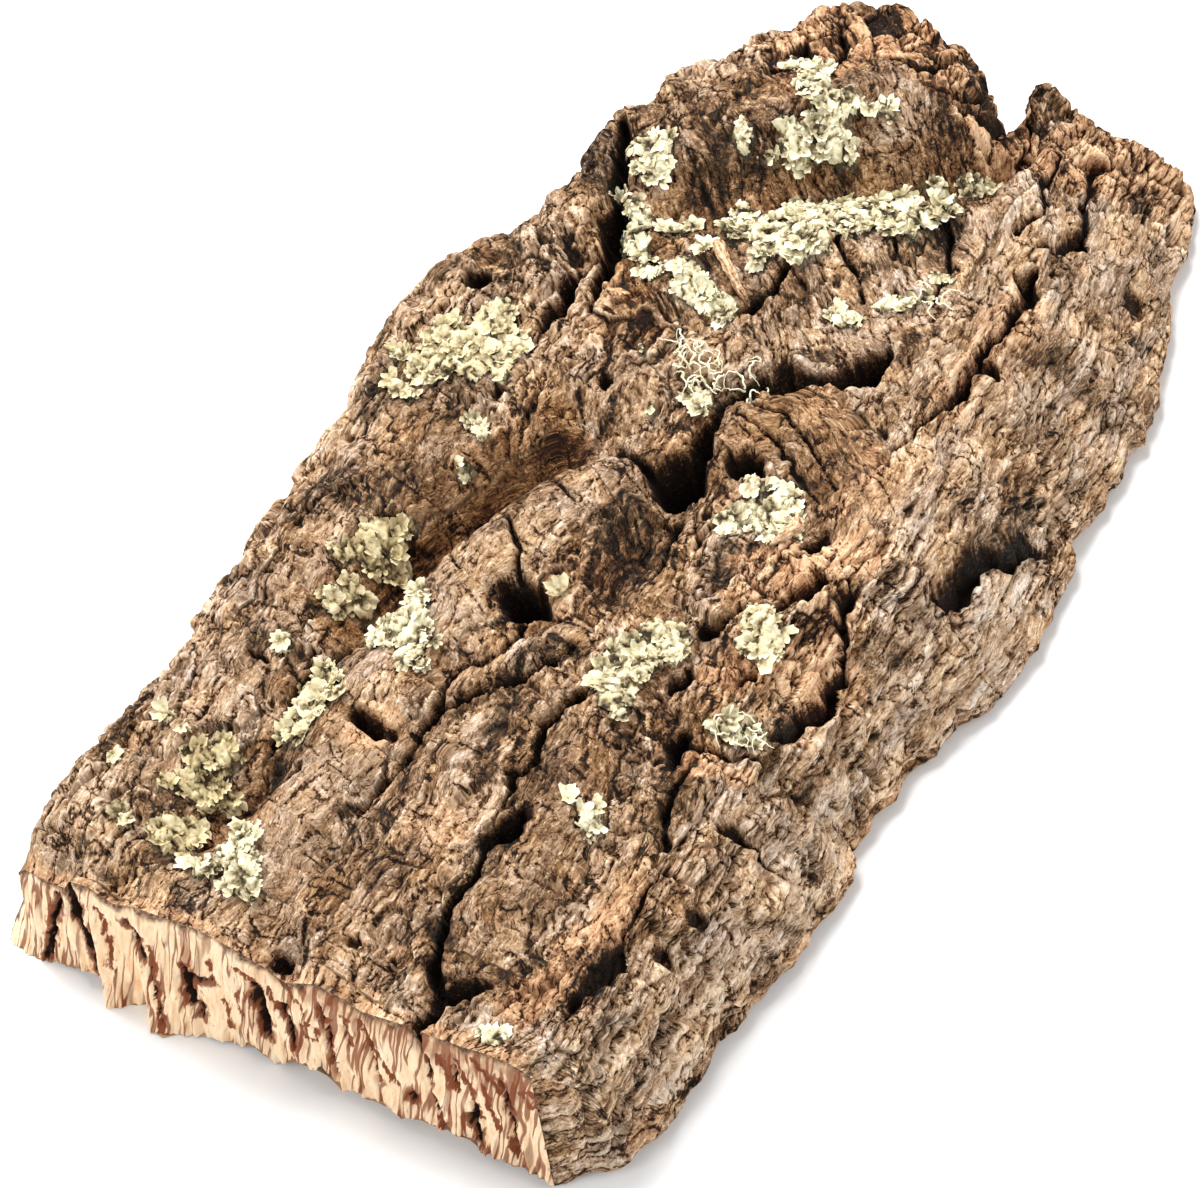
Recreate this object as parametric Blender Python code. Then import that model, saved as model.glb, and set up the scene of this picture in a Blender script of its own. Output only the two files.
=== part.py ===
"""Slab of virgin cork bark with patches of lichen on its outer face.

The slab lies on its inner face. Plan positions below are millimetres on a survey grid: x runs from the
sawn end to the broken end, y from the right edge to the left edge, and z is height above the ground.
ORIGIN is the middle of the slab's footprint on that grid, and becomes the model's origin.
"""

import math

import bpy
import numpy as np
from mathutils import Vector, geometry
from mathutils.bvhtree import BVHTree

MM = 0.001
ORIGIN = (-9.16, 1.13)

# Slab
SAWN_TOP_X = -142.0
SAWN_FOOT_X = -150.0
SAWN_BLEND = (-130, -141)
BREAK_X = 141.0
RIM_HEIGHT = 5.0
LOW_CORNER_START = (85, -18)
LOW_CORNER_END = (128, -40)
LOW_CORNER_LOSS = 0.33
GRID_STEP = 1.1
WALL_ROWS = 26
SIDE_CROWDING = 0.07
SLAB_TRIANGLES = 10500
UNDERSIDE_RISE = 2.4
UNDERSIDE_BORDER = 16.0
FLAT_BELOW = 0.1

# Roughness: sizes of its lumps along the face, and heights
NOISE_TILE = 97
PLATE_SIZE = 11.0
PLATE_RELIEF = 1.1
PLATE_SLIMNESS = 1.4
CRACK_SHARE = 0.09
WANDER = 3.0
WANDER_SIZE = 17.0
LUMP_SIZE = 9.0
LUMP_RELIEF = 1.3
SAWN_SIZE = 5.0
SAWN_RELIEF = 0.7
BLOCK_SIZE = 9.0
BREAK_RELIEF = 1.8
OUTLINE_SIZE = 8.0
OUTLINE_WANDER = 1.5
TOOTH_SIZE = 13.0

# Lichen
LICHEN_GAP = 0.3
SAMPLES_PER_EDGE = 8
LICHEN_THICKNESS = 0.9
LICHEN_STEP = 3.4
LOBE_LENGTH = 4.2
LOBE_SHAPE = (1.0, 0.55, -1.1, 0.55)
LOBE_DEPTH = 0.8
RUFFLE_HEIGHT = 1.5
RUFFLE_SIZE = 3.0

BARK_COLOUR = (0.27, 0.19, 0.13)
LICHEN_COLOUR = (0.66, 0.67, 0.42)

# Outline of the footprint, point by point along each side
RIGHT_FOOT = [
    (-150, -54), (-141, -65), (-130, -70), (-110, -71), (-85, -76), (-74, -78), (-62, -79), (-57, -75),
    (-45, -77), (-30, -79), (-10, -87), (5, -90), (20, -90), (35, -86), (52, -88), (72, -88), (90, -83),
    (105, -78), (120, -75), (131, -72),
]
LEFT_FOOT = [
    (-150, 91), (-135, 92), (-112, 90), (-92, 86), (-75, 85), (-40, 85), (-25, 84), (-10, 83), (5, 87),
    (14, 89), (24, 87), (30, 85), (40, 78), (47, 71), (56, 69), (66, 64), (72, 63), (85, 63), (100, 58),
    (115, 50), (127, 38),
]
BACK_EDGE = [
    (131, -72), (135, -69), (137, -60), (133, -48), (135, -34), (121, -36), (123, -27), (129, -18),
    (135, -6), (138, 4), (137, 14), (133, 27), (127, 38),
]

# Reach of the rounded right side, and thickness, at stations along x
SIDE_REACH = [(-140, 14), (-100, 22), (-60, 28), (-20, 34), (20, 40), (60, 42), (100, 42), (130, 40)]
THICKNESS = [(-150, 37), (-60, 40), (40, 42), (90, 43), (130, 41)]
LEFT_REACH = 16.0

# Section at the sawn end: height of its upper edge, and how far its lower edge lifts (or, below zero, juts)
SAWN_TOP = [
    (-66, 6), (-62, 20), (-58, 34), (-54, 40), (-49, 42), (-44, 41.5), (-38, 39.5), (-30, 38), (-22, 37),
    (-15, 35), (-11.6, 34), (-9, 36.7), (-1, 38), (4.6, 34), (8.7, 31), (12.7, 35), (19, 37.6), (28, 40),
    (36, 38.5), (46, 36.7), (53, 33), (58.6, 36.7), (64, 35), (67.6, 29.5), (73, 28.6), (78.4, 30),
    (82, 26), (82.5, 21.4), (86.5, 11.5), (91, 4),
]
SAWN_FOOT = [
    (-56, 2), (-50, 4.5), (-44, 4), (-36, 3), (-33, 5.6), (-22, 4), (-9, 3), (0, 3), (3, 8), (10, 6),
    (17, -1.6), (20, 4.3), (28, -1), (36, -2), (47, -8), (50, 1), (60, -6), (62, 5), (66, 5.6), (71, 1.6),
    (77, 1), (82, -2), (91, 0),
]

# Slots in the sawn end: (y, z, half width, depth) along each
SLOTS = [
    [(65, 31, 1.6, 5), (66, 22, 1.8, 6), (66, 12, 1.4, 4)],
    [(72, 21, 0.8, 3), (75, 12, 0.9, 3), (78, 3, 0.8, 3)],
    [(48, 28, 1.6, 4), (49, 21, 1.4, 4)],
    [(44, 20, 0.8, 2), (44, 3, 0.8, 2)],
    [(36, 21, 1.8, 5), (35.5, 11, 1.4, 4)],
    [(29, 21.5, 0.9, 3), (34, 21.5, 0.9, 3)],
    [(17, 26, 1.5, 5), (16.5, 18, 1.8, 6), (17, 10, 1.2, 4)],
    [(10, 24, 1.2, 4), (9.5, 11, 1.0, 4)],
    [(-1, 30, 1.1, 4), (-1, 5, 0.9, 3)],
    [(-6, 26, 1.0, 3), (-6, 20, 0.8, 3)],
    [(-12, 25, 0.9, 3), (-12, 7, 0.8, 2)],
    [(-27, 29, 1.1, 3), (-27, 11, 0.8, 2)],
    [(-34, 30, 1.0, 3), (-34, 23, 0.8, 3)],
    [(-37, 18, 1.4, 3), (-36, 4, 1.2, 3)],
    [(-46, 30, 0.8, 3), (-46, 6, 0.8, 2)],
    [(-56, 19, 1.6, 3), (-55, 5, 1.2, 3)],
]

# Folds of the outer face: (x, y, height) along the crest or the bottom, reach to its left and right
FOLDS = {
    "left shoulder": ([(-140, 57, 1), (-100, 55, 2), (-60, 55, 2), (-20, 57, 2), (12, 53, 2)], 14, 11),
    "gully": (
        [(-124, 44, -7), (-117, 42, -12), (-107, 39, -11), (-98, 37, -6), (-85, 38, -3), (-70, 38, -5),
         (-60, 38, -11), (-48, 36, -15), (-36, 33, -18), (-25, 28, -20), (-15, 23, -18), (-7, 18, -14),
         (-2, 11, -9)], 10, 5),
    "first tongue": (
        [(-128, 27, 1), (-110, 28, 2), (-90, 25, 2), (-70, 24, 3), (-50, 21, 5), (-36, 17, 6),
         (-22, 11, 6), (-11, 4, 4)], 8, 12),
    "furrow": (
        [(-141, 18, -4), (-125, 17, -3), (-112, 15, -5), (-104, 12, -4), (-90, 11, -3), (-78, 10, -4)], 4, 4),
    "knuckle": ([(-74, 6, 2), (-66, 2, 3), (-58, -3, 3), (-52, -6, 2)], 4, 4),
    "second tongue": ([(-138, -5, 1), (-110, -8, 2), (-85, -7, 1), (-65, -12, 1)], 9, 7),
    "third tongue": (
        [(-124, -29, 3), (-110, -28, 4), (-95, -29, 4), (-80, -28, 4), (-68, -26, 3), (-60, -25, 1)], 8, 9),
    "saddle": ([(-34, -12, -5), (-24, -12, -8), (-15, -13, -8), (-6, -13, -9)], 5, 5),
    "crazed strip": (
        [(-126, -43, -1), (-100, -44, -2), (-80, -43, -2), (-66, -38, -2), (-55, -37, -2)], 5, 7),
    "left block": ([(28, 50, 3), (40, 47, 4), (52, 46, 4), (62, 46, 2)], 10, 6),
    "rim curl": ([(68, 50, 3), (77, 53, 4), (85, 50, 3)], 4, 3),
    "upper ridge": (
        [(74, 42, 4), (83, 29, 7), (92, 15, 9), (101, 2, 9), (108, -11, 9), (113, -23, 7)], 15, 12),
    "ridge gully": (
        [(61, 23, -6), (67, 17, -9), (72, 9, -8), (77, 0, -9), (81, -9, -11), (86, -17, -12),
         (90, -26, -12), (96, -35, -13), (108, -38, -12), (119, -37, -9)], 9, 4),
    "second ridge": (
        [(42, 18, 2), (50, 6, 5), (57, -5, 6), (64, -16, 6), (70, -26, 5), (76, -34, 2)], 10, 10),
    "nose": ([(33, -20, 2), (39, -15, 4), (46, -10, 4)], 3, 4),
    "brown slope": ([(18, 4, 2), (27, -2, 3), (35, -7, 3)], 6, 5),
    "curl": ([(6, -18, 5), (13, -20, 6), (18, -28, 6), (15, -38, 5), (8, -48, 2)], 7, 7),
    "corner slab": ([(92, -46, 2), (105, -44, 3), (120, -42, 2)], 4, 7),
    "flank step": (
        [(-12, -71, 2), (-3, -72, 3), (5, -74, 3), (13, -75, 3), (21, -79, 3), (29, -83, 2)], 9, 1.6),
}

# Fissures: (x, y, half width, depth) along each
FISSURES = {
    "long fissure": [
        (-142, -26, 1.4, 9), (-136, -27, 1.6, 10), (-132, -26, 1.8, 10), (-127, -21.5, 1.5, 9),
        (-121, -20, 1.2, 9), (-113, -19, 1.5, 9), (-106, -19.5, 1.1, 9), (-100, -19, 1.6, 9),
        (-96, -20, 3.0, 9), (-92, -22, 2.6, 9), (-91, -24, 1.2, 4)],
    "long fissure middle": [(-91, -17, 0.6, 4), (-86, -16, 0.9, 6), (-82, -14, 1.4, 7), (-80, -18, 0.9, 5)],
    "long fissure end": [
        (-80, -18, 0.8, 5), (-76, -16, 1.1, 7), (-70, -15.5, 1.2, 7), (-66, -17, 1.0, 7),
        (-62, -19.5, 1.3, 7), (-57, -18.5, 1.0, 6), (-52, -17.5, 1.0, 6), (-47, -19.5, 0.8, 5)],
    "tongue front": [(-134, -27, 1.8, 8), (-131, -30, 2.4, 9), (-128.5, -35, 1.6, 7)],
    "furrow crack": [
        (-104, 12.5, 0.8, 3), (-97, 12, 0.8, 4), (-90, 10.5, 0.7, 4), (-80, 10.5, 1.0, 4),
        (-76, 9.5, 2.0, 7), (-72, 9.5, 0.9, 5), (-66, 7.5, 0.6, 4), (-60, 3.5, 0.8, 4),
        (-55, 2, 0.8, 4), (-50, 2, 1.0, 6)],
    "knuckle crack": [
        (-76, 9, 1.4, 6), (-73, 4, 0.7, 4), (-66, -2, 0.7, 4), (-60, -7, 0.8, 4), (-56, -10, 1.2, 5),
        (-50, -11, 0.8, 3)],
    "tongue edge front": [(-119, 37, 1.2, 5), (-112, 35.5, 1.4, 6), (-105, 33, 1.0, 5), (-99, 30, 0.7, 3)],
    "tongue edge": [
        (-66, 34, 1.2, 5), (-58, 31.5, 1.3, 6), (-50, 29.5, 1.3, 6), (-42, 28.8, 1.2, 6),
        (-35, 26.5, 1.2, 6), (-28, 23, 1.2, 6), (-20, 20.5, 1.3, 6), (-13, 17, 1.4, 6),
        (-6, 12, 1.8, 7), (-2, 7, 2.2, 8), (-3, 0, 1.2, 6), (-5, -7, 1.5, 6)],
    "lichen ledge": [
        (-97, 39.5, 0.7, 4), (-88, 41, 1.0, 5), (-80, 42, 1.2, 6), (-74, 40, 1.3, 6), (-68, 38.5, 1.2, 5)],
    "saddle crack": [(-27, -19.5, 0.8, 5), (-20, -18, 1.0, 6), (-13, -15.5, 1.2, 6)],
    "great fissure": [
        (-5, -10, 3.6, 13), (-1, -12.5, 4.4, 15), (4, -13, 3.4, 15), (9, -14, 2.0, 14),
        (15, -13, 2.0, 14), (20, -13.5, 2.4, 14), (25, -19, 3.2, 14), (29, -22.5, 3.2, 14),
        (31.5, -26, 1.6, 10), (33, -31, 1.5, 9), (36, -36, 3.0, 12), (40, -38.5, 3.6, 13), (43, -40, 1.8, 9)],
    "left gap": [(22, 38, 1.2, 6), (28, 38.5, 2.2, 9), (34, 39, 2.4, 9), (39, 38, 1.2, 6)],
    "black gap": [
        (30, 30.5, 0.9, 6), (36, 32, 1.5, 9), (42, 32.5, 2.8, 13), (48, 34, 3.0, 13), (54, 37, 2.8, 13),
        (59, 38.5, 2.2, 12), (63, 41, 1.6, 10), (70, 43, 2.3, 11), (76, 46, 2.0, 10), (81, 48.5, 1.2, 7)],
    "chunk fissure": [
        (-36, -35, 1.2, 5), (-34, -37.5, 1.4, 6), (-29, -40, 1.0, 5), (-26, -43.5, 1.0, 5),
        (-25, -48, 1.2, 5), (-20, -51, 2.2, 7), (-15, -53.5, 1.6, 6)],
    "low fissure": [
        (-52, -58, 0.9, 5), (-46, -60.5, 1.6, 7), (-41, -62, 2.0, 8), (-36, -63, 1.8, 8),
        (-31, -65, 1.2, 6), (-27, -63.5, 1.0, 5), (-22, -61, 1.2, 6), (-17, -59.5, 2.2, 8)],
    "flank fissure": [
        (-5, -74, 0.8, 4), (-1, -75.2, 1.6, 6), (4, -77, 2.0, 7), (8, -76, 1.4, 6), (13, -77.5, 1.6, 7),
        (17, -79.5, 2.2, 8), (22, -81, 1.8, 7), (26, -83.8, 1.6, 6), (30, -85, 1.0, 4)],
    "hole line": [
        (20, -53, 0.5, 2), (28, -54.5, 0.6, 3), (36, -57, 0.7, 4), (43, -58, 1.6, 8), (48, -59, 1.4, 7),
        (56, -58.5, 0.6, 4), (64, -60, 1.2, 6), (70, -60, 1.8, 8), (75, -58.5, 2.0, 8), (79, -59, 0.9, 5)],
    "corner line": [
        (86, -57, 0.6, 3), (90, -60, 1.4, 6), (95, -60.3, 2.0, 8), (99, -60.3, 1.1, 5),
        (104, -57.5, 0.7, 4), (112, -55.5, 0.7, 4), (118, -53, 1.1, 5), (121, -51.5, 2.0, 7),
        (124.5, -54, 1.6, 6)],
    "slab line": [(85, -52, 0.6, 3), (93, -53, 0.9, 4), (97, -52, 0.7, 4), (103, -49, 0.6, 3),
                  (112, -47, 0.6, 3), (119, -45, 0.5, 2)],
    "ledge": [(-127, -53, 0.8, 3), (-122, -52.5, 1.8, 5), (-117, -53.5, 2.6, 6), (-111, -55.5, 2.2, 5),
              (-105, -54, 1.0, 4), (-99, -54, 0.8, 3), (-90, -54, 0.6, 3)],
    "arch": [(-84, -53, 1.4, 6), (-80, -50.5, 0.9, 4), (-76, -48, 0.8, 4), (-71, -47.5, 0.8, 4),
             (-68.5, -50, 0.7, 3)],
    "arch hole": [(-67, -45, 1.2, 5), (-63.5, -44, 2.6, 9), (-60, -44.5, 2.0, 8)],
    "slab side": [(-62, -47, 0.9, 3), (-60, -53, 0.9, 3), (-58, -59, 1.0, 4)],
    "flank crack": [(-76, -59, 1.0, 4), (-74, -62, 1.8, 5), (-73.5, -66, 0.6, 3), (-73.5, -71, 0.5, 2)],
    "curl hole": [(3.5, -23, 2.0, 8), (4.5, -26.5, 2.6, 11), (4, -29, 1.4, 6)],
    "curl groove": [(19, -19, 0.7, 2.5), (17, -29, 0.7, 2.5), (12, -38, 0.7, 2.5), (6, -47, 0.7, 2)],
    "curl inner groove": [(13, -18.5, 0.6, 2.5), (12, -27, 0.7, 2.5), (7, -36, 0.7, 2.5), (1, -44, 0.6, 2)],
    "low left hole": [(-9, -47.5, 2.0, 6), (-6, -49, 1.6, 5)],
    "chunk hole": [(-50.5, -36, 1.4, 6), (-48.5, -37.5, 1.4, 5)],
    "chunk pit": [(-44, -49, 1.4, 5), (-41.5, -50.5, 1.2, 4)],
    "ridge crack": [(41, -3, 1.0, 6), (43, -6.5, 1.6, 8), (46, -9.5, 1.2, 7), (52, -10, 1.0, 6),
                    (58, -9, 0.8, 4)],
    "ridge split": [(55, -28, 0.6, 4), (59, -24, 0.7, 4), (64, -18, 0.7, 4), (68, -14, 0.9, 5),
                    (71, -11, 1.1, 6)],
    "ridge split low": [(66, -31, 0.6, 3), (72, -28, 0.7, 3), (78, -28, 0.6, 3)],
    "shadow hole": [(70, 8, 1.6, 6), (71, 6, 1.2, 5)],
    "tongue crack": [(-41.5, 6.5, 0.9, 4), (-37, 9.5, 0.7, 3.5), (-33, 13, 0.8, 4), (-30.5, 16, 0.7, 3)],
    "tongue crack high": [(-45, 19.5, 0.5, 2), (-43, 23, 0.5, 2), (-38.5, 26.5, 0.5, 2)],
    "tongue crack head": [(-19.5, 4, 0.5, 2), (-17, 8, 0.5, 2), (-14.5, 15, 0.6, 3)],
    "end crack high": [(108, 9, 1.2, 4), (114, 8, 1.6, 6), (118, 9.5, 1.2, 5), (123, 12, 1.2, 5),
                       (127, 15, 1.4, 6)],
    "end crack middle": [(119, 5, 0.6, 3), (117, -1, 0.7, 4), (118, -6, 0.8, 4), (117, -12, 1.8, 7),
                         (121, -14, 2.4, 8), (124, -17, 1.8, 7)],
    "end crack low": [(111, -16, 0.7, 3), (113, -22, 0.8, 4), (116, -26, 0.9, 5), (120, -25, 1.0, 5),
                      (123, -24, 1.0, 5)],
    "end crack toe": [(112, -28, 0.7, 4), (116, -30, 0.8, 5), (120, -32, 0.8, 5)],
    "ridge foot": [(60, -43, 0.6, 3), (70, -42, 0.7, 4), (78, -38, 0.9, 5), (84, -34, 1.2, 6),
                   (89, -31, 1.6, 7)],
}

# Holes: x, y, radius along x, radius along y, depth
HOLES = [
    (-85, 20, 2.4, 4.4, 10), (-45, 4.5, 3.4, 6.5, 14), (28.5, 59, 2.2, 3.2, 9), (50.5, -61.4, 1.7, 1.7, 7),
    (-139.5, 11, 1.8, 1.6, 5), (-80, 53, 0.8, 2.6, 4), (-103.5, -61.5, 2.0, 1.5, 4),
    (-93.5, -62.5, 1.8, 1.6, 4), (95, -74.5, 3.2, 2.0, 6), (62, -83, 3.0, 1.2, 5), (79, -84, 2.2, 0.9, 4),
    (15, 17, 1.6, 1.3, 4),
]

# Outlines of the lichen patches
LICHENS = {
    "lichen_front_shoulder": [
        (-129, 50), (-124, 55), (-120, 51), (-120, 46), (-123, 41), (-126, 39), (-129, 43)],
    "lichen_front_gully": [
        (-117, 56), (-112, 56), (-107, 51), (-101, 48), (-101, 44), (-108, 41), (-114, 36), (-117, 40),
        (-117, 47)],
    "lichen_front_tongue": [
        (-130, 37), (-125, 35), (-115, 33), (-116, 29), (-123, 24), (-129, 21), (-133, 26), (-134, 31)],
    "lichen_ledge": [
        (-97, 35), (-92, 38), (-85, 39.5), (-79, 38.5), (-75, 34), (-77, 31), (-86, 31), (-94, 32)],
    "lichen_gully_left": [
        (-66, 44), (-62, 49), (-58, 50), (-56, 44), (-56, 38), (-60, 35), (-64, 36)],
    "lichen_gully_right": [
        (-53, 42), (-51, 52), (-47, 54), (-43, 47), (-34, 45), (-34, 40), (-43, 37), (-47, 32), (-52, 33)],
    "lichen_tongue": [
        (-69, 28), (-66, 31), (-59, 29), (-51, 28), (-52, 25), (-59, 20), (-66, 17), (-69, 21)],
    "lichen_wall_small": [(-22, 37), (-19, 38.5), (-16, 37), (-16, 34), (-19, 32), (-22, 33.5)],
    "lichen_wall_slim": [(-11, 39), (-8, 42), (-5, 43), (-6, 38), (-7, 34.5), (-11, 35.5)],
    "lichen_left_large": [
        (-7, 59), (-1, 63), (7, 64), (14, 66), (19, 62), (20, 56), (26, 55), (27, 49), (21, 46), (19, 41),
        (10, 39), (5, 38), (3, 44), (0, 51), (-6, 54)],
    "lichen_rim": [
        (72, 44), (77, 46), (81, 43), (84, 39), (80, 36), (75, 34), (71, 32), (69, 36), (71, 40)],
    "lichen_black_gap": [(50, 34), (56, 35), (60, 38), (61, 33), (57, 29), (53, 28), (48, 27.5)],
    "lichen_second_ridge": [
        (43, 22), (48, 21), (53, 16), (58, 17), (57, 12), (51, 8), (50, 3), (46, -1), (42, -1), (38, 1),
        (40, 8), (41, 15)],
    "lichen_band_upper": [
        (62, 12), (66, 13), (71, 13), (70, 6), (74, 1), (78, -5), (77, -8), (70, -9), (67, -12), (61, -8),
        (61, -3), (56, -1), (61, 3), (61, 8)],
    "lichen_band_lower": [
        (72, -12), (78, -11), (83, -16), (85, -21), (83, -26), (79, -30), (74, -27), (73, -21), (70, -16)],
    "lichen_band_foot": [(84, -29), (90, -27), (92, -31), (90, -35), (86, -36), (82, -34)],
    "lichen_crest": [
        (83, 18), (89, 16), (96, 15), (104, 14), (110, 18), (114, 16), (111, 8), (111, 1), (107, -6),
        (103, -1), (97, -3), (91, -5), (88, 0), (85, 6), (84, 12)],
    "lichen_ridge_small": [(47, -21), (52, -21), (53, -25), (51, -30), (48, -28), (46, -24)],
    "lichen_ridge_slim": [(53, -29), (56, -29), (58, -34), (60, -38), (55, -38), (51, -35)],
    "lichen_bearded": [
        (15, -3), (18, 1), (23, 3), (28, 4), (29, -1), (25, -6), (21, -9), (16, -8)],
    "lichen_curl": [
        (-13, -27), (-8, -25), (0, -27), (1, -32), (0, -38), (-4, -43), (-9, -43), (-12, -38), (-12, -32)],
    "lichen_centre": [
        (-60, -22), (-54, -20), (-46, -23), (-38, -25), (-37, -30), (-42, -33), (-50, -31), (-57, -32),
        (-62, -28)],
    "lichen_low_leafy": [(-34, -41), (-29, -42), (-27, -47), (-30, -51), (-37, -52), (-39, -48)],
    "lichen_low_bearded": [(-60, -48), (-56, -47), (-54, -53), (-50, -58), (-56, -58.5), (-59, -54)],
    "lichen_third_tongue": [(-90, -34), (-86, -33), (-84, -35), (-86, -38), (-90, -37)],
    "lichen_sawn_end": [(-138, -37), (-135.5, -39), (-135.5, -43), (-137.5, -45), (-139, -41)],
}


def smooth(low, high, value):
    """0 below low, 1 above high, with a smooth turn between them."""
    t = np.clip((value - low) / (high - low), 0, 1)
    return t * t * (3 - 2 * t)


def along(points, x):
    """Second column of the points at x."""
    xs, ys = np.array(points, float).T
    return np.interp(x, xs, ys)


def gradient_noise(x, y, size, seed):
    """Smooth seeded noise, about -1 to 1, with lumps of the given size."""
    angle = np.random.default_rng(seed).uniform(0, 2 * math.pi, (NOISE_TILE, NOISE_TILE))
    i, j = np.floor(x / size).astype(int), np.floor(y / size).astype(int)
    u, v = x / size - i, y / size - j

    def corner(di, dj):
        turn = angle[(i + di) % NOISE_TILE, (j + dj) % NOISE_TILE]
        return np.cos(turn) * (u - di) + np.sin(turn) * (v - dj)

    su, sv = u * u * (3 - 2 * u), v * v * (3 - 2 * v)
    low = corner(0, 0) * (1 - su) + corner(1, 0) * su
    high = corner(0, 1) * (1 - su) + corner(1, 1) * su
    return 1.6 * (low * (1 - sv) + high * sv)


def plates(x, y, size, seed):
    """Broken plates: distance to the nearest crack as a share of the size, and each plate's own height."""
    rng = np.random.default_rng(seed)
    shift = rng.uniform(0.1, 0.9, (2, NOISE_TILE, NOISE_TILE))
    level = rng.uniform(-1, 1, (NOISE_TILE, NOISE_TILE))
    i, j = np.floor(x / size).astype(int), np.floor(y / size).astype(int)
    first = np.full(x.shape, np.inf)
    second = np.full(x.shape, np.inf)
    height = np.zeros(x.shape)
    for di in (-1, 0, 1):
        for dj in (-1, 0, 1):
            a, b = (i + di) % NOISE_TILE, (j + dj) % NOISE_TILE
            gap = np.hypot(i + di + shift[0, a, b] - x / size, j + dj + shift[1, a, b] - y / size)
            closer = gap < first
            second = np.where(closer, first, np.minimum(second, gap))
            height = np.where(closer, level[a, b], height)
            first = np.where(closer, gap, first)
    return second - first, height


def body(x, y):
    """Smooth body of the slab: its thickness, rounded sides and low back corner."""
    low_x = smooth(LOW_CORNER_START[0], LOW_CORNER_END[0], x)
    low_y = smooth(LOW_CORNER_START[1], LOW_CORNER_END[1], y)
    thickness = along(THICKNESS, x) * (1 - LOW_CORNER_LOSS * low_x * low_y)
    right = np.clip((y - along(RIGHT_FOOT, x)) / along(SIDE_REACH, x), 0, 1)
    left = np.clip((along(LEFT_FOOT, x) - y) / LEFT_REACH, 0, 1)
    rounding = np.sin(math.pi / 2 * np.minimum(right, left))
    return RIM_HEIGHT + (thickness - RIM_HEIGHT) * rounding


def nearest(points, x, y, margin):
    """Where the points of x, y lie near a line: which ones, distance, side (+ is left), other columns."""
    line = np.array(points, float)
    low, high = line[:, :2].min(axis=0) - margin, line[:, :2].max(axis=0) + margin
    inside = (x > low[0]) & (x < high[0]) & (y > low[1]) & (y < high[1])
    px, py = x[inside], y[inside]
    distance = np.full(px.shape, np.inf)
    side = np.zeros(px.shape)
    columns = np.zeros((line.shape[1] - 2,) + px.shape)
    for start, end in zip(line[:-1], line[1:]):
        step = end[:2] - start[:2]
        share = np.clip(((px - start[0]) * step[0] + (py - start[1]) * step[1]) / (step @ step), 0, 1)
        dx, dy = px - start[0] - share * step[0], py - start[1] - share * step[1]
        gap = np.hypot(dx, dy)
        closer = gap < distance
        distance = np.where(closer, gap, distance)
        side = np.where(closer, np.sign(step[0] * dy - step[1] * dx), side)
        for column, a, b in zip(columns, start[2:], end[2:]):
            column[:] = np.where(closer, a + share * (b - a), column)
    return inside, distance, side, columns


def folded(x, y):
    """Height added by the ridges and taken by the gullies."""
    z = np.zeros(x.shape)
    for points, left, right in FOLDS.values():
        inside, distance, side, (height,) = nearest(points, x, y, 2.5 * max(left, right))
        z[inside] += height * np.exp(-((distance / np.where(side > 0, left, right)) ** 2))
    return z


def fissured(x, y):
    """Depth cut away by the fissures and holes."""
    cut = np.zeros(x.shape)
    for points in FISSURES.values():
        inside, distance, _, (half_width, depth) = nearest(points, x, y, 9)
        cut[inside] = np.maximum(cut[inside], depth * np.exp(-((distance / (1.25 * half_width)) ** 3)))
    for hole_x, hole_y, radius_x, radius_y, depth in HOLES:
        share = np.hypot((x - hole_x) / radius_x, (y - hole_y) / radius_y)
        cut = np.maximum(cut, depth * np.exp(-(share**4)))
    return cut


def rim_distance(x, y):
    """Plan distance to the nearer long edge."""
    return np.minimum(y - along(RIGHT_FOOT, x), along(LEFT_FOOT, x) - y)


def unrolled(x, y):
    """y measured over the surface instead of in plan, so that the steep sides aren't stretched."""
    outward = np.where(along(LEFT_FOOT, x) - y < y - along(RIGHT_FOOT, x), 1, -1)
    return y + outward * (along(THICKNESS, x) - body(x, y))


def cracks(edge):
    """1 in the crack between two plates, 0 away from it."""
    return np.exp(-((edge / CRACK_SHARE) ** 2))


def rough(x, y):
    """Roughness of the bark, measured square to its body."""
    y = unrolled(x, y)
    wander_x = x + WANDER * gradient_noise(x, y, WANDER_SIZE, 3)
    wander_y = y + WANDER * gradient_noise(x, y, WANDER_SIZE, 4)
    edge, level = plates(wander_x, PLATE_SLIMNESS * wander_y, PLATE_SIZE, 5)
    return PLATE_RELIEF * (level - 1.2 * cracks(edge)) + LUMP_RELIEF * gradient_noise(x, y, LUMP_SIZE, 6)


def outer_face(x, y):
    """Points of the rough outer face of the bark over the plan points."""
    step = 0.5
    z = body(x, y)
    normal = np.dstack([z - body(x + step, y), z - body(x, y + step), np.full(z.shape, step)])
    normal /= np.linalg.norm(normal, axis=2)[..., None]
    inland = smooth(0, 3, rim_distance(x, y))
    foot = smooth(0, 12, rim_distance(x, y))
    sawn = smooth(*SAWN_BLEND, x)
    relief = inland * smooth(SAWN_TOP_X, SAWN_TOP_X + 4, x) * smooth(BREAK_X, BREAK_X - 5, x)
    z = (1 - sawn) * (z + folded(x, y)) + sawn * along(SAWN_TOP, y)
    z = np.maximum(z - foot * fissured(x, y), 0.8 * RIM_HEIGHT)
    return np.dstack([x, y, z]) + (relief * rough(x, y))[..., None] * normal


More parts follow.
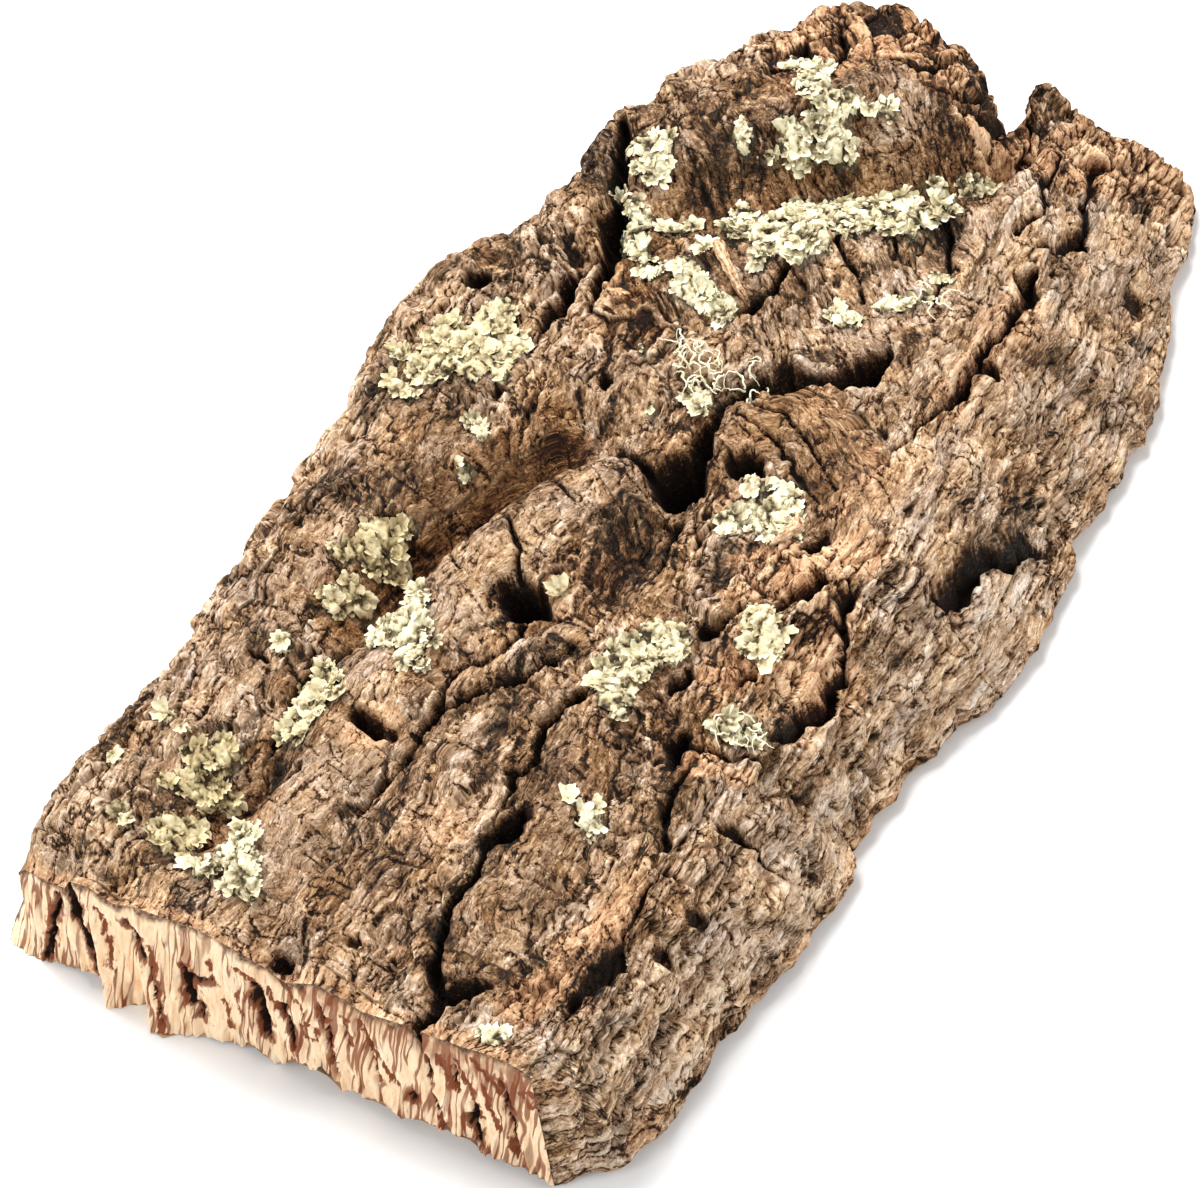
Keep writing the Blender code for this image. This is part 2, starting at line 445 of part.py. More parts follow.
def side_points(points, shares):
    """Points of a ragged side of the outline, at shares of its length."""
    line = np.array(points, float)
    run = np.concatenate([[0], np.cumsum(np.hypot(*np.diff(line, axis=0).T))])
    places = shares * run[-1]
    side = np.stack([np.interp(places, run, line[:, k]) for k in (0, 1)], axis=-1)
    ends = smooth(0, 8, np.minimum(places, run[-1] - places))
    wander = gradient_noise(*side.T, OUTLINE_SIZE, 21) + 0.5 * gradient_noise(*side.T, OUTLINE_SIZE / 2, 22)
    along_side = np.gradient(side, axis=0)
    across = np.stack([along_side[:, 1], -along_side[:, 0]], axis=-1) / np.hypot(*along_side.T)[:, None]
    return side + (OUTLINE_WANDER * ends * wander)[:, None] * across


def rows_apart(rows):
    """Shares of the width where the rows run: closer together down the steep sides."""
    t = np.linspace(0, 1, rows)
    return t - SIDE_CROWDING * np.sin(2 * math.pi * t)


def footprint(front_x, columns, rows):
    """Grid of plan points that fills the outline; front_x gives the sawn end's x for each y."""
    lengthways, sideways = np.linspace(0, 1, columns), rows_apart(rows)
    right, left = side_points(RIGHT_FOOT, lengthways), side_points(LEFT_FOOT, lengthways)
    stretch = (1 - lengthways) ** 3
    right[:, 0] += stretch * (front_x(right[0, 1]) - right[0, 0])
    left[:, 0] += stretch * (front_x(left[0, 1]) - left[0, 0])
    front_y = right[0, 1] + sideways * (left[0, 1] - right[0, 1])
    front = np.stack([front_x(front_y), front_y], axis=-1)
    back = side_points(BACK_EDGE, sideways)
    u = lengthways[:, None, None]
    v = sideways[None, :, None]
    lengthwise = (1 - v) * right[:, None] + v * left[:, None]
    crosswise = (1 - u) * front[None] + u * back[None]
    corners = (1 - u) * ((1 - v) * front[0] + v * front[-1]) + u * ((1 - v) * back[0] + v * back[-1])
    return lengthwise + crosswise - corners


def sawn_top_x(y):
    return np.full(np.shape(y), SAWN_TOP_X)


def sawn_foot_x(y):
    return SAWN_FOOT_X + 0.8 * np.minimum(along(SAWN_FOOT, y), 0)


def underside(x, y, border):
    """Height of the underside: flat, and lifting at its ragged border."""
    teeth = 1 + 0.5 * gradient_noise(x, y, TOOTH_SIZE, 8)
    sawn = smooth(SAWN_FOOT_X + 10, SAWN_FOOT_X, x)
    lift = UNDERSIDE_RISE * (teeth - sawn) + sawn * np.maximum(along(SAWN_FOOT, y), 0)
    return lift * (1 - smooth(0, UNDERSIDE_BORDER, border))


def slab_faces(columns, rows):
    """Points of the outer face and of the underside, on grids of one shape."""
    top = footprint(sawn_top_x, columns, rows)
    base = footprint(sawn_foot_x, columns, rows)
    u = np.linspace(0, 1, columns)[:, None]
    v = rows_apart(rows)[None, :]
    border = GRID_STEP * np.minimum(np.minimum(u, 1 - u) * columns, np.minimum(v, 1 - v) * rows)
    x, y = base[..., 0], base[..., 1]
    return outer_face(top[..., 0], top[..., 1]), np.dstack([base, underside(x, y, border)])


def sawn_relief(y, z):
    """Depth of the slots and of the roughness of the sawn end."""
    cut = np.zeros(y.shape)
    for points in SLOTS:
        inside, distance, _, (half_width, depth) = nearest(points, y, z, 4)
        cut[inside] = np.maximum(cut[inside], depth * np.exp(-((distance / half_width) ** 4)))
    return cut + SAWN_RELIEF * gradient_noise(y, 0.5 * z, SAWN_SIZE, 12)


def break_relief(y, z):
    """Depth of the blocks of the broken end."""
    edge, level = plates(y + WANDER * gradient_noise(y, z, BLOCK_SIZE, 14), z, BLOCK_SIZE, 13)
    return BREAK_RELIEF * (level + 1 - cracks(edge))


def slab_mesh():
    """Closed mesh of the slab: outer face, underside, and walls between their rims."""
    columns = round((BACK_EDGE[0][0] - RIGHT_FOOT[0][0]) / GRID_STEP)
    rows = round((LEFT_FOOT[0][1] - RIGHT_FOOT[0][1]) / GRID_STEP)
    top, base = (face.reshape(-1, 3) for face in slab_faces(columns, rows))
    index = np.arange(columns * rows).reshape(columns, rows)
    rim = np.concatenate([index[:-1, 0], index[-1, :-1], index[:0:-1, -1], index[0, :0:-1]])
    is_front, is_back = rim < rows, rim >= (columns - 1) * rows
    points, rings = [top, base], [rim]
    for row in range(1, WALL_ROWS):
        share = row / WALL_ROWS
        wall = (1 - share) * top[rim] + share * base[rim]
        y, z = wall[:, 1], wall[:, 2]
        corner = smooth(0, 5, np.minimum(y - wall[is_front, 1].min(), wall[is_front, 1].max() - y))
        wall[:, 0] += np.where(is_front, corner * sawn_relief(y, z), 0)
        wall[:, 0] -= np.where(is_back, math.sin(math.pi * share) ** 0.5 * break_relief(y, z), 0)
        rings.append(2 * columns * rows + (row - 1) * len(rim) + np.arange(len(rim)))
        points.append(wall)
    rings.append(rim + columns * rows)
    low, high = index[:-1, :-1].ravel(), index[1:, 1:].ravel()
    quads = np.stack([low, index[1:, :-1].ravel(), high, index[:-1, 1:].ravel()], axis=-1)
    faces = [quads, quads[:, ::-1] + columns * rows]
    for upper, lower in zip(rings[:-1], rings[1:]):
        faces.append(np.stack([np.roll(upper, -1), upper, lower, np.roll(lower, -1)], axis=-1))
    return np.concatenate(points), np.concatenate(faces)


def lobed_outline(corners, seed):
    """The outline of a patch, rounded and cut into lobes."""
    rng = np.random.default_rng(seed)
    line = np.array(corners, float)
    loop = np.vstack([line, line[:1]])
    run = np.concatenate([[0], np.cumsum(np.hypot(*np.diff(loop, axis=0).T))])
    count = len(LOBE_SHAPE) * max(5, round(run[-1] / LOBE_LENGTH))
    places = (np.arange(count) + rng.uniform(-0.3, 0.3, count)) / count * run[-1] % run[-1]
    points = np.stack([np.interp(places, run, loop[:, k]) for k in (0, 1)], axis=-1)
    points = (np.roll(points, 1, axis=0) + 2 * points + np.roll(points, -1, axis=0)) / 4
    tangent = np.roll(points, -1, axis=0) - np.roll(points, 1, axis=0)
    outward = np.stack([tangent[:, 1], -tangent[:, 0]], axis=-1)
    turning = line[:, 0] @ np.roll(line[:, 1], -1) - line[:, 1] @ np.roll(line[:, 0], -1)
    outward *= np.sign(turning) / np.hypot(*outward.T)[:, None]
    reach = LOBE_DEPTH * np.resize(LOBE_SHAPE, count) * rng.uniform(0.6, 1.5, count)
    return points + outward * reach[:, None]


def patch_triangles(outline, seed):
    """Plan points and triangles of a patch, with points inside it on a shaken grid."""
    rng = np.random.default_rng(seed)
    low, high = outline.min(axis=0), outline.max(axis=0)
    inner = []
    for x in np.arange(low[0], high[0], LICHEN_STEP):
        for y in np.arange(low[1], high[1], LICHEN_STEP):
            point = np.array([x, y]) + rng.uniform(-0.25, 0.25, 2) * LICHEN_STEP
            if np.hypot(*(outline - point).T).min() > 0.45 * LICHEN_STEP:
                inner.append(point)
    coords = [Vector(p) for p in outline] + [Vector(p) for p in inner]
    loop = list(range(len(outline)))
    points, _, faces, *_ = geometry.delaunay_2d_cdt(coords, [], [loop], 1, 1e-6)
    return np.array([tuple(p) for p in points]), [tuple(f) for f in faces]


def bark_height(tree, x, y):
    """Height of the bark under a plan point, in millimetres."""
    hit = tree.ray_cast(Vector((x * MM, y * MM, 0.2)), Vector((0, 0, -1)))[0]
    return hit.z / MM if hit else 0.0


def clear_underside(tree, points, faces):
    """Heights that keep the underside of a patch just clear of the bark, also between its points."""
    under = np.array([bark_height(tree, x, y) for x, y in points])
    steps = range(SAMPLES_PER_EDGE + 1)
    shares = [(a, b, SAMPLES_PER_EDGE - a - b) for a in steps for b in steps if a + b <= SAMPLES_PER_EDGE]
    weights = np.array(shares) / SAMPLES_PER_EDGE
    for face in faces:
        corners = list(face)
        samples = weights @ points[corners]
        bark = np.array([bark_height(tree, x, y) for x, y in samples])
        lack = bark - weights @ under[corners]
        under[corners] += max(0.0, lack.max())
    return under + LICHEN_GAP


def lichen_mesh(tree, corners, seed):
    """Closed leaf of lichen that follows the bark, with a ruffled upper side."""
    outline = lobed_outline(corners, seed) - ORIGIN
    points, faces = patch_triangles(outline, seed + 50)
    count = len(points)
    under = clear_underside(tree, points, faces)
    rim = np.array([np.hypot(*(outline - p).T).min() < 1e-3 for p in points])
    ruffle = RUFFLE_HEIGHT * (0.5 + 0.5 * gradient_noise(points[:, 0], points[:, 1], RUFFLE_SIZE, seed))
    upper = under + LICHEN_THICKNESS + np.where(rim, 0.3 * ruffle, ruffle)
    solid = np.vstack([np.column_stack([points, upper]), np.column_stack([points, under])])
    edges = {(a, b) for face in faces for a, b in zip(face, face[1:] + face[:1])}
    quads = [(b, a, a + count, b + count) for a, b in edges if (b, a) not in edges]
    lower = [tuple(v + count for v in reversed(face)) for face in faces]
    return solid, faces + lower + quads


def material(name, colour, roughness):
    made = bpy.data.materials.new(name)
    made.use_nodes = True
    shader = made.node_tree.nodes["Principled BSDF"]
    shader.inputs["Base Color"].default_value = (*colour, 1)
    shader.inputs["Roughness"].default_value = roughness
    shader.inputs["Metallic"].default_value = 0
    return made


def add_object(name, points, faces, finish):
    """Mesh object from millimetre points."""
    mesh = bpy.data.meshes.new(name)
    mesh.from_pydata((np.asarray(points) * MM).tolist(), [], [tuple(map(int, face)) for face in faces])
    mesh.materials.append(finish)
    mesh.validate()
    made = bpy.data.objects.new(name, mesh)
    bpy.context.scene.collection.objects.link(made)
    return made


def build_slab():
    points, faces = slab_mesh()
    points[:, :2] -= ORIGIN
    slab = add_object("bark_slab", points, faces, material("cork bark", BARK_COLOUR, 0.92))
    thin = slab.modifiers.new("fewer faces", "DECIMATE")
    thin.ratio = SLAB_TRIANGLES / (2 * len(faces))
    thin.use_collapse_triangulate = True
    bpy.context.view_layer.update()
    slab.data = bpy.data.meshes.new_from_object(slab.evaluated_get(bpy.context.evaluated_depsgraph_get()))
    slab.modifiers.clear()
    for vertex in slab.data.vertices:
        if vertex.co.z < FLAT_BELOW * MM:
            vertex.co.z = 0
    return slab


def build_lichens(slab):
    tree = BVHTree.FromPolygons([v.co for v in slab.data.vertices], [p.vertices for p in slab.data.polygons])
    for seed, (name, corners) in enumerate(LICHENS.items()):
        points, faces = lichen_mesh(tree, corners, 100 + seed)
        add_object(name, points, faces, material(name.replace("_", " "), LICHEN_COLOUR, 0.85))


def main():
    for old in list(bpy.data.objects):
        bpy.data.objects.remove(old)
    build_lichens(build_slab())


main()
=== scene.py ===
"""Visual model of a slab of virgin cork bark with lichen on its outer face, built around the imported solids.

Positions are millimetres on the survey grid of the solids: x runs from the sawn end to the broken end, y from
the right edge to the left edge, z is height above the ground, and ORIGIN becomes the model's origin.
"""

import math

import bpy
import numpy as np
from mathutils import Matrix, Vector

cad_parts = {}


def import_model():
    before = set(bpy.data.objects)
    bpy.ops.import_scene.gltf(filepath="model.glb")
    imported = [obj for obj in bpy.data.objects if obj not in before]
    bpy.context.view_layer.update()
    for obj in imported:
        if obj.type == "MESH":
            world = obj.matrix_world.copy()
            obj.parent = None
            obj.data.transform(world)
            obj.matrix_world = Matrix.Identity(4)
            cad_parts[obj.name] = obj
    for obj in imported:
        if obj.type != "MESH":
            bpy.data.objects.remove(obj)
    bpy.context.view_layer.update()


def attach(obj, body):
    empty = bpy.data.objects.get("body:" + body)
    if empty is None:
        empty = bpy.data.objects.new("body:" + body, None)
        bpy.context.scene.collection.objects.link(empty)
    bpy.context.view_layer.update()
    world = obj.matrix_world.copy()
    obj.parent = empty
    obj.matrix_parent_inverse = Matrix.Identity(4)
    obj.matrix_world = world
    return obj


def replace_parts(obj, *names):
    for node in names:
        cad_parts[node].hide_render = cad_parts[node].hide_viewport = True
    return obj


MM = 0.001
ORIGIN = (-9.16, 1.13)

# Slab, as in the solids
SAWN_TOP_X = -142.0
SAWN_FOOT_X = -150.0
SAWN_BLEND = (-130, -141)
BREAK_X = 141.0
RIM_HEIGHT = 5.0
LOW_CORNER_START = (85, -18)
LOW_CORNER_END = (128, -40)
LOW_CORNER_LOSS = 0.33
SIDE_CROWDING = 0.07
UNDERSIDE_RISE = 2.4
UNDERSIDE_BORDER = 16.0
NOISE_TILE = 97
AROUND = [(di, dj) for di in (-1, 0, 1) for dj in (-1, 0, 1)]
PLATE_SIZE = 11.0
PLATE_RELIEF = 1.1
PLATE_SLIMNESS = 1.4
CRACK_SHARE = 0.09
WANDER = 3.0
WANDER_SIZE = 17.0
LUMP_SIZE = 9.0
LUMP_RELIEF = 1.3
SAWN_SIZE = 5.0
SAWN_RELIEF = 0.7
BLOCK_SIZE = 9.0
BREAK_RELIEF = 1.8
OUTLINE_SIZE = 8.0
OUTLINE_WANDER = 1.5
TOOTH_SIZE = 13.0

# Fineness of the visual surfaces: points lengthways, across, and down the ends and the low side walls
COLUMNS = 670
ROWS = 430
STRIPS = 4
END_ROWS = 76
FOOT_ROWS = 9
CORNER_COLUMNS = 60
UNDERSIDE_SKIP = 4

# Noise that moves positions: (lump size, reach, seed)
FISSURE_SHAKE = [(7.0, 1.2, 31), (2.6, 0.6, 33), (1.2, 0.15, 29)]
GRAIN_SHAKE = [(10.0, 1.6, 35), (3.2, 0.4, 37)]
ZONE_SHAKE = [(9.0, 3.0, 39), (3.0, 1.2, 41), (1.2, 0.4, 25)]

# Noise that is added up: (lump size, height, seed)
FISSURE_WAVER = [(WANDER_SIZE / 3, 1.0, 30), (2.2, 0.5, 34)]
SOFTNESS_NOISES = [(23.0, 0.5, 90), (9.0, 0.25, 91)]
CRUMB_NOISES = [(14.0, 1.0, 95), (5.0, 0.5, 96), (2.0, 0.3, 97)]
LIGHT_NOISES = [(13.0, 0.16, 71), (5.0, 0.1, 70)]
OUTLINE_NOISES = [(OUTLINE_SIZE, 1.0, 21), (OUTLINE_SIZE / 2, 0.5, 22), (OUTLINE_SIZE / 5, 0.3, 23)]
SAWN_EDGE_NOISES = [(3.0, 1.0, 88), (1.2, 0.6, 89)]
SAWN_FOOT_NOISES = [(3.0, 1.4, 88), (1.3, 0.8, 89)]
WALL_NOISES = [(LUMP_SIZE, 1.6, 76), (0.4 * LUMP_SIZE, 0.8, 77)]

# Undulations of the bark: length, width, height on rough and on smooth bark, seed
SWELLS = [(11.0, 7.5, 0.75, 0.35, 300), (4.6, 3.0, 0.32, 0.12, 302), (1.9, 1.2, 0.14, 0.05, 304)]

# Layers that flaked off in steps: length, width and height of each noise, and the height of a step
FLAKED_NOISES = [(15.0, 6.5, 0.6), (6.0, 2.8, 0.28), (2.4, 1.3, 0.1)]
FLAKED_STEP = 0.42
STEP_SHARPNESS = 0.22

# Wandering cracks: length, width, share of them present on rough and on smooth bark, seed
CRACK_SETS = [(22.0, 5.5, 0.5, 0.45, 320), (9.0, 2.8, 0.3, 0.2, 324), (4.2, 12.0, 0.3, 0.35, 328)]

# Cells between short cracks: size across, length over width, share of the cracks present, relief, seed
CELL_SETS = [(4.4, 1.6, 0.5, 0.2, 0.24, 341), (2.3, 1.4, 0.3, 0.1, 0.16, 344)]
NO_CRACK = 3.0
CRACK_WIDTH = 0.36
CRACK_DEPTH = 0.32
PIT_SIZE = 4.6
PIT_DEPTH = 2.0
GRIT_SIZE = 0.9
GRIT_RELIEF = 0.06
GRAIN_TURN = math.radians(50)
GRAIN_TURN_X = 34.0
GRAIN_TURN_Y = -48.0
GRAIN_TURN_WAVER = 8.0
LINE_APART = 211.0
FISSURE_REACH = 0.85
FISSURE_STEEPNESS = 2.6
BASE_SOFTNESS = 0.42
BARK_KEYS = "fresh", "pale", "brown", "dark", "lichen", "deep", "crust"
SLOPE_STEP = 0.5

# Sawn end
SAWN_SHAKE = [(5.0, 0.7, 61), (1.8, 0.5, 63), (0.9, 0.25, 67)]
SAWN_LINE_SIZE = 1.3
SAWN_LINE_SLANT = 0.22
CRUST_DEPTH = 2.6

# Lichen lobes, in millimetres
CRUST_STEP = 0.42
CRUST_SHAKE = [(3.0, 0.9, 45), (1.3, 0.5, 49)]
CRUST_LOBES = [(3.4, 0.8, 55), (1.5, 0.35, 57)]
LOBE_SPACING = 1.7
LOBE_SHARE = 0.5
LOBE_LENGTH = (2.2, 4.4)
LOBE_SWEEP = 1.35
LOBE_RINGS = 5
LOBE_SPOKES = 16
LOBE_CRUMPLE = 0.3
LOBE_JAGS = 0.12
THREAD_SPACING = 1.75
THREAD_RADIUS = 0.23
THREAD_POINTS = 14
THREAD_SIDES = 5
HEIGHT_STEP = 0.5

# Camera at the photograph's viewing angle
CAMERA_AZIMUTH = -44.0
CAMERA_ELEVATION = 54.0
CAMERA_ROLL = 20.0
CAMERA_DISTANCE = 0.75
CAMERA_TARGET = (-0.01484, 0.00157, 0.015)
CAMERA_LENS = 100.0
CAMERA_SENSOR = 36

# Outline of the footprint, point by point along each side
RIGHT_FOOT = [
    (-150, -54), (-141, -65), (-130, -70), (-110, -71), (-85, -76), (-74, -78), (-62, -79), (-57, -75),
    (-45, -77), (-30, -79), (-10, -87), (5, -90), (20, -90), (35, -86), (52, -88), (72, -88), (90, -83),
    (105, -78), (120, -75), (131, -72),
]
LEFT_FOOT = [
    (-150, 91), (-135, 92), (-112, 90), (-92, 86), (-75, 85), (-40, 85), (-25, 84), (-10, 83), (5, 87),
    (14, 89), (24, 87), (30, 85), (40, 78), (47, 71), (56, 69), (66, 64), (72, 63), (85, 63), (100, 58),
    (115, 50), (127, 38),
]
BACK_EDGE = [
    (131, -72), (135, -69), (137, -60), (133, -48), (135, -34), (121, -36), (123, -27), (129, -18),
    (135, -6), (138, 4), (137, 14), (133, 27), (127, 38),
]

# Reach of the rounded right side, and thickness, at stations along x
SIDE_REACH = [(-140, 14), (-100, 22), (-60, 28), (-20, 34), (20, 40), (60, 42), (100, 42), (130, 40)]
THICKNESS = [(-150, 37), (-60, 40), (40, 42), (90, 43), (130, 41)]
LEFT_REACH = 16.0

# Section at the sawn end: height of its upper edge, and how far its lower edge lifts (or, below zero, juts)
SAWN_TOP = [
    (-66, 6), (-62, 20), (-58, 34), (-54, 40), (-49, 42), (-44, 41.5), (-38, 39.5), (-30, 38), (-22, 37),
    (-15, 35), (-11.6, 34), (-9, 36.7), (-1, 38), (4.6, 34), (8.7, 31), (12.7, 35), (19, 37.6), (28, 40),
    (36, 38.5), (46, 36.7), (53, 33), (58.6, 36.7), (64, 35), (67.6, 29.5), (73, 28.6), (78.4, 30),
    (82, 26), (82.5, 21.4), (86.5, 11.5), (91, 4),
]
SAWN_FOOT = [
    (-56, 2), (-50, 4.5), (-44, 4), (-36, 3), (-33, 5.6), (-22, 4), (-9, 3), (0, 3), (3, 8), (10, 6),
    (17, -1.6), (20, 4.3), (28, -1), (36, -2), (47, -8), (50, 1), (60, -6), (62, 5), (66, 5.6), (71, 1.6),
    (77, 1), (82, -2), (91, 0),
]

# Slots in the sawn end: (y, z, half width, depth) along each
SLOTS = [
    [(65, 31, 2.0, 6), (65.5, 22, 2.4, 8), (63.5, 12, 2.0, 6)],
    [(72, 21, 0.8, 3), (75, 12, 0.9, 3), (78, 3, 0.8, 3)],
    [(48, 28, 1.6, 4), (49, 21, 1.4, 4)],
    [(44, 20, 0.8, 2), (44, 3, 0.8, 2)],
    [(36, 21, 1.8, 5), (35.5, 11, 1.4, 4)],
    [(29, 21.5, 0.9, 3), (34, 21.5, 0.9, 3)],
    [(17, 26, 1.5, 5), (16.5, 18, 1.8, 6), (17, 10, 1.2, 4)],
    [(10, 24, 1.2, 4), (9.5, 11, 1.0, 4)],
    [(-1, 30, 1.1, 4), (-1, 5, 0.9, 3)],
    [(-6, 26, 1.0, 3), (-6, 20, 0.8, 3)],
    [(-12, 25, 0.9, 3), (-12, 7, 0.8, 2)],
    [(-27, 29, 1.1, 3), (-27, 11, 0.8, 2)],
    [(-34, 30, 1.0, 3), (-34, 23, 0.8, 3)],
    [(-37, 18, 1.4, 3), (-36, 4, 1.2, 3)],
    [(-46, 30, 0.8, 3), (-46, 6, 0.8, 2)],
    [(-56, 19, 1.6, 3), (-55, 5, 1.2, 3)],
]

# Lines in the sawn end: (y, z) along each, half width
SAWN_DARK_LINES = [
    ([(64.8, 31.5), (65.4, 22.2), (63.1, 15.6), (62.7, 6.7)], 1.3),
    ([(50.6, 28.6), (47.6, 26.4), (45.9, 22.3)], 0.6),
    ([(35.1, 23.9), (35.5, 20.9), (35.2, 16.6), (35.8, 12.3)], 0.7),
    ([(34.8, 20.2), (28.7, 22)], 0.5),
    ([(33.7, 11.8), (34.4, 7.3)], 0.5),
    ([(18.2, 21.8), (16.4, 16.1), (17, 8.9)], 0.8),
    ([(10.6, 22.8), (9.5, 17.9), (9.3, 10.6)], 0.6),
    ([(-35.5, 13.4), (-36.6, 9.5), (-37.2, 4.1)], 0.7),
    ([(70.1, 25.3), (74.7, 13.8), (79.8, 0.6)], 0.5),
    ([(-60.6, 28), (-60.7, 25.5)], 0.8),
    ([(-21, 12), (-21, 10.8)], 0.6),
    ([(-1, 29), (-1.8, 23.4)], 0.4),
    ([(-45.7, 33.1), (-47.8, 25.5)], 0.4),
]
SAWN_RED_LINES = [
    ([(44.2, 25.5), (42.8, 20.1), (43.2, 13.1), (43.2, 7.4), (44.7, -0.4)], 0.5),
    ([(26.5, 15.9), (27, 7.6)], 0.3),
    ([(27.8, 29.7), (28.3, 21.6)], 0.2),
    ([(20.9, 31.3), (17.8, 29.8), (14.7, 26)], 0.5),
    ([(13.2, 26.9), (11.6, 22.2), (10.2, 20.8)], 0.4),
    ([(6.9, 32.7), (3.3, 33.6)], 0.4),
    ([(-0.7, 30.5), (-2.6, 27.2)], 0.4),
    ([(12.3, 35.1), (8.4, 29.7), (4.4, 24.2)], 0.3),
    ([(-0.9, 29.5), (-1.8, 23.4), (-1.8, 16.6), (-0.8, 6.9)], 0.4),
    ([(-6.8, 29.6), (-6.8, 20.8)], 0.35),
    ([(-10.8, 30.9), (-11.8, 20.4), (-12.8, 11.9)], 0.35),
    ([(-11.8, 24.8), (-17.3, 13.5)], 0.3),
    ([(-25.9, 29.9), (-27.1, 25.1), (-27.9, 22.2)], 0.4),
    ([(-27.2, 20.7), (-27.4, 14), (-28.5, 5.5)], 0.4),
    ([(-30.2, 31.4), (-33.6, 22.4)], 0.4),
    ([(-35.4, 33.4), (-37.2, 24.6), (-38.2, 15.1)], 0.4),
    ([(-40.6, 36.5), (-43.3, 32.7), (-45.2, 29.4)], 0.4),
    ([(-42, 29.7), (-42.5, 22.3), (-43.1, 14.7)], 0.35),
    ([(-46.4, 30), (-47.8, 25.5), (-46.8, 18.2)], 0.4),
    ([(-45.2, 12.6), (-45.3, 4.6)], 0.3),
    ([(-55.4, 17), (-55.6, 10), (-55, 4)], 0.7),
    ([(58, 30), (56, 22), (57, 12)], 0.25),
    ([(22, 24), (23, 14)], 0.2),
    ([(3.6, 22), (5.6, 20), (5.8, 17.5), (4, 16), (2, 17.5), (2, 20.5), (3.6, 22)], 0.2),
    ([(-53, 34), (-51.4, 32), (-52, 28.5), (-54, 29), (-54.8, 31.5), (-53, 34)], 0.2),
]

# Folds of the outer face: (x, y, height) along the crest or the bottom, reach to its left and right
FOLDS = {
    "left shoulder": ([(-140, 57, 1), (-100, 55, 2), (-60, 55, 2), (-20, 57, 2), (12, 53, 2)], 14, 11),
    "gully": (
        [(-124, 44, -7), (-117, 42, -12), (-107, 39, -11), (-98, 37, -6), (-85, 38, -3), (-70, 38, -5),
         (-60, 38, -11), (-48, 36, -15), (-36, 33, -18), (-25, 28, -20), (-15, 23, -18), (-7, 18, -14),
         (-2, 11, -9)], 10, 5),
    "first tongue": (
        [(-128, 27, 1), (-110, 28, 2), (-90, 25, 2), (-70, 24, 3), (-50, 21, 5), (-36, 17, 6),
         (-22, 11, 6), (-11, 4, 4)], 8, 12),
    "furrow": (
        [(-141, 18, -4), (-125, 17, -3), (-112, 15, -5), (-104, 12, -4), (-90, 11, -3), (-78, 10, -4)], 4, 4),
    "knuckle": ([(-74, 6, 2), (-66, 2, 3), (-58, -3, 3), (-52, -6, 2)], 4, 4),
    "second tongue": ([(-138, -5, 1), (-110, -8, 2), (-85, -7, 1), (-65, -12, 1)], 9, 7),
    "third tongue": (
        [(-124, -29, 3), (-110, -28, 4), (-95, -29, 4), (-80, -28, 4), (-68, -26, 3), (-60, -25, 1)], 8, 9),
    "saddle": ([(-34, -12, -5), (-24, -12, -8), (-15, -13, -8), (-6, -13, -9)], 5, 5),
    "crazed strip": (
        [(-126, -43, -1), (-100, -44, -2), (-80, -43, -2), (-66, -38, -2), (-55, -37, -2)], 5, 7),
    "left block": ([(28, 50, 3), (40, 47, 4), (52, 46, 4), (62, 46, 2)], 10, 6),
    "rim curl": ([(68, 50, 3), (77, 53, 4), (85, 50, 3)], 4, 3),
    "upper ridge": (
        [(74, 42, 4), (83, 29, 7), (92, 15, 9), (101, 2, 9), (108, -11, 9), (113, -23, 7)], 15, 12),
    "ridge gully": (
        [(61, 23, -6), (67, 17, -9), (72, 9, -8), (77, 0, -9), (81, -9, -11), (86, -17, -12),
         (90, -26, -12), (96, -35, -13), (108, -38, -12), (119, -37, -9)], 9, 4),
    "second ridge": (
        [(42, 18, 2), (50, 6, 5), (57, -5, 6), (64, -16, 6), (70, -26, 5), (76, -34, 2)], 10, 10),
    "nose": ([(33, -20, 2), (39, -15, 4), (46, -10, 4)], 3, 4),
    "brown slope": ([(18, 4, 2), (27, -2, 3), (35, -7, 3)], 6, 5),
    "curl": ([(6, -18, 5), (13, -20, 6), (18, -28, 6), (15, -38, 5), (8, -48, 2)], 7, 7),
    "corner slab": ([(92, -46, 2), (105, -44, 3), (120, -42, 2)], 4, 7),
    "flank step": (
        [(-12, -71, 2), (-3, -72, 3), (5, -74, 3), (13, -75, 3), (21, -79, 3), (29, -83, 2)], 9, 1.6),
}

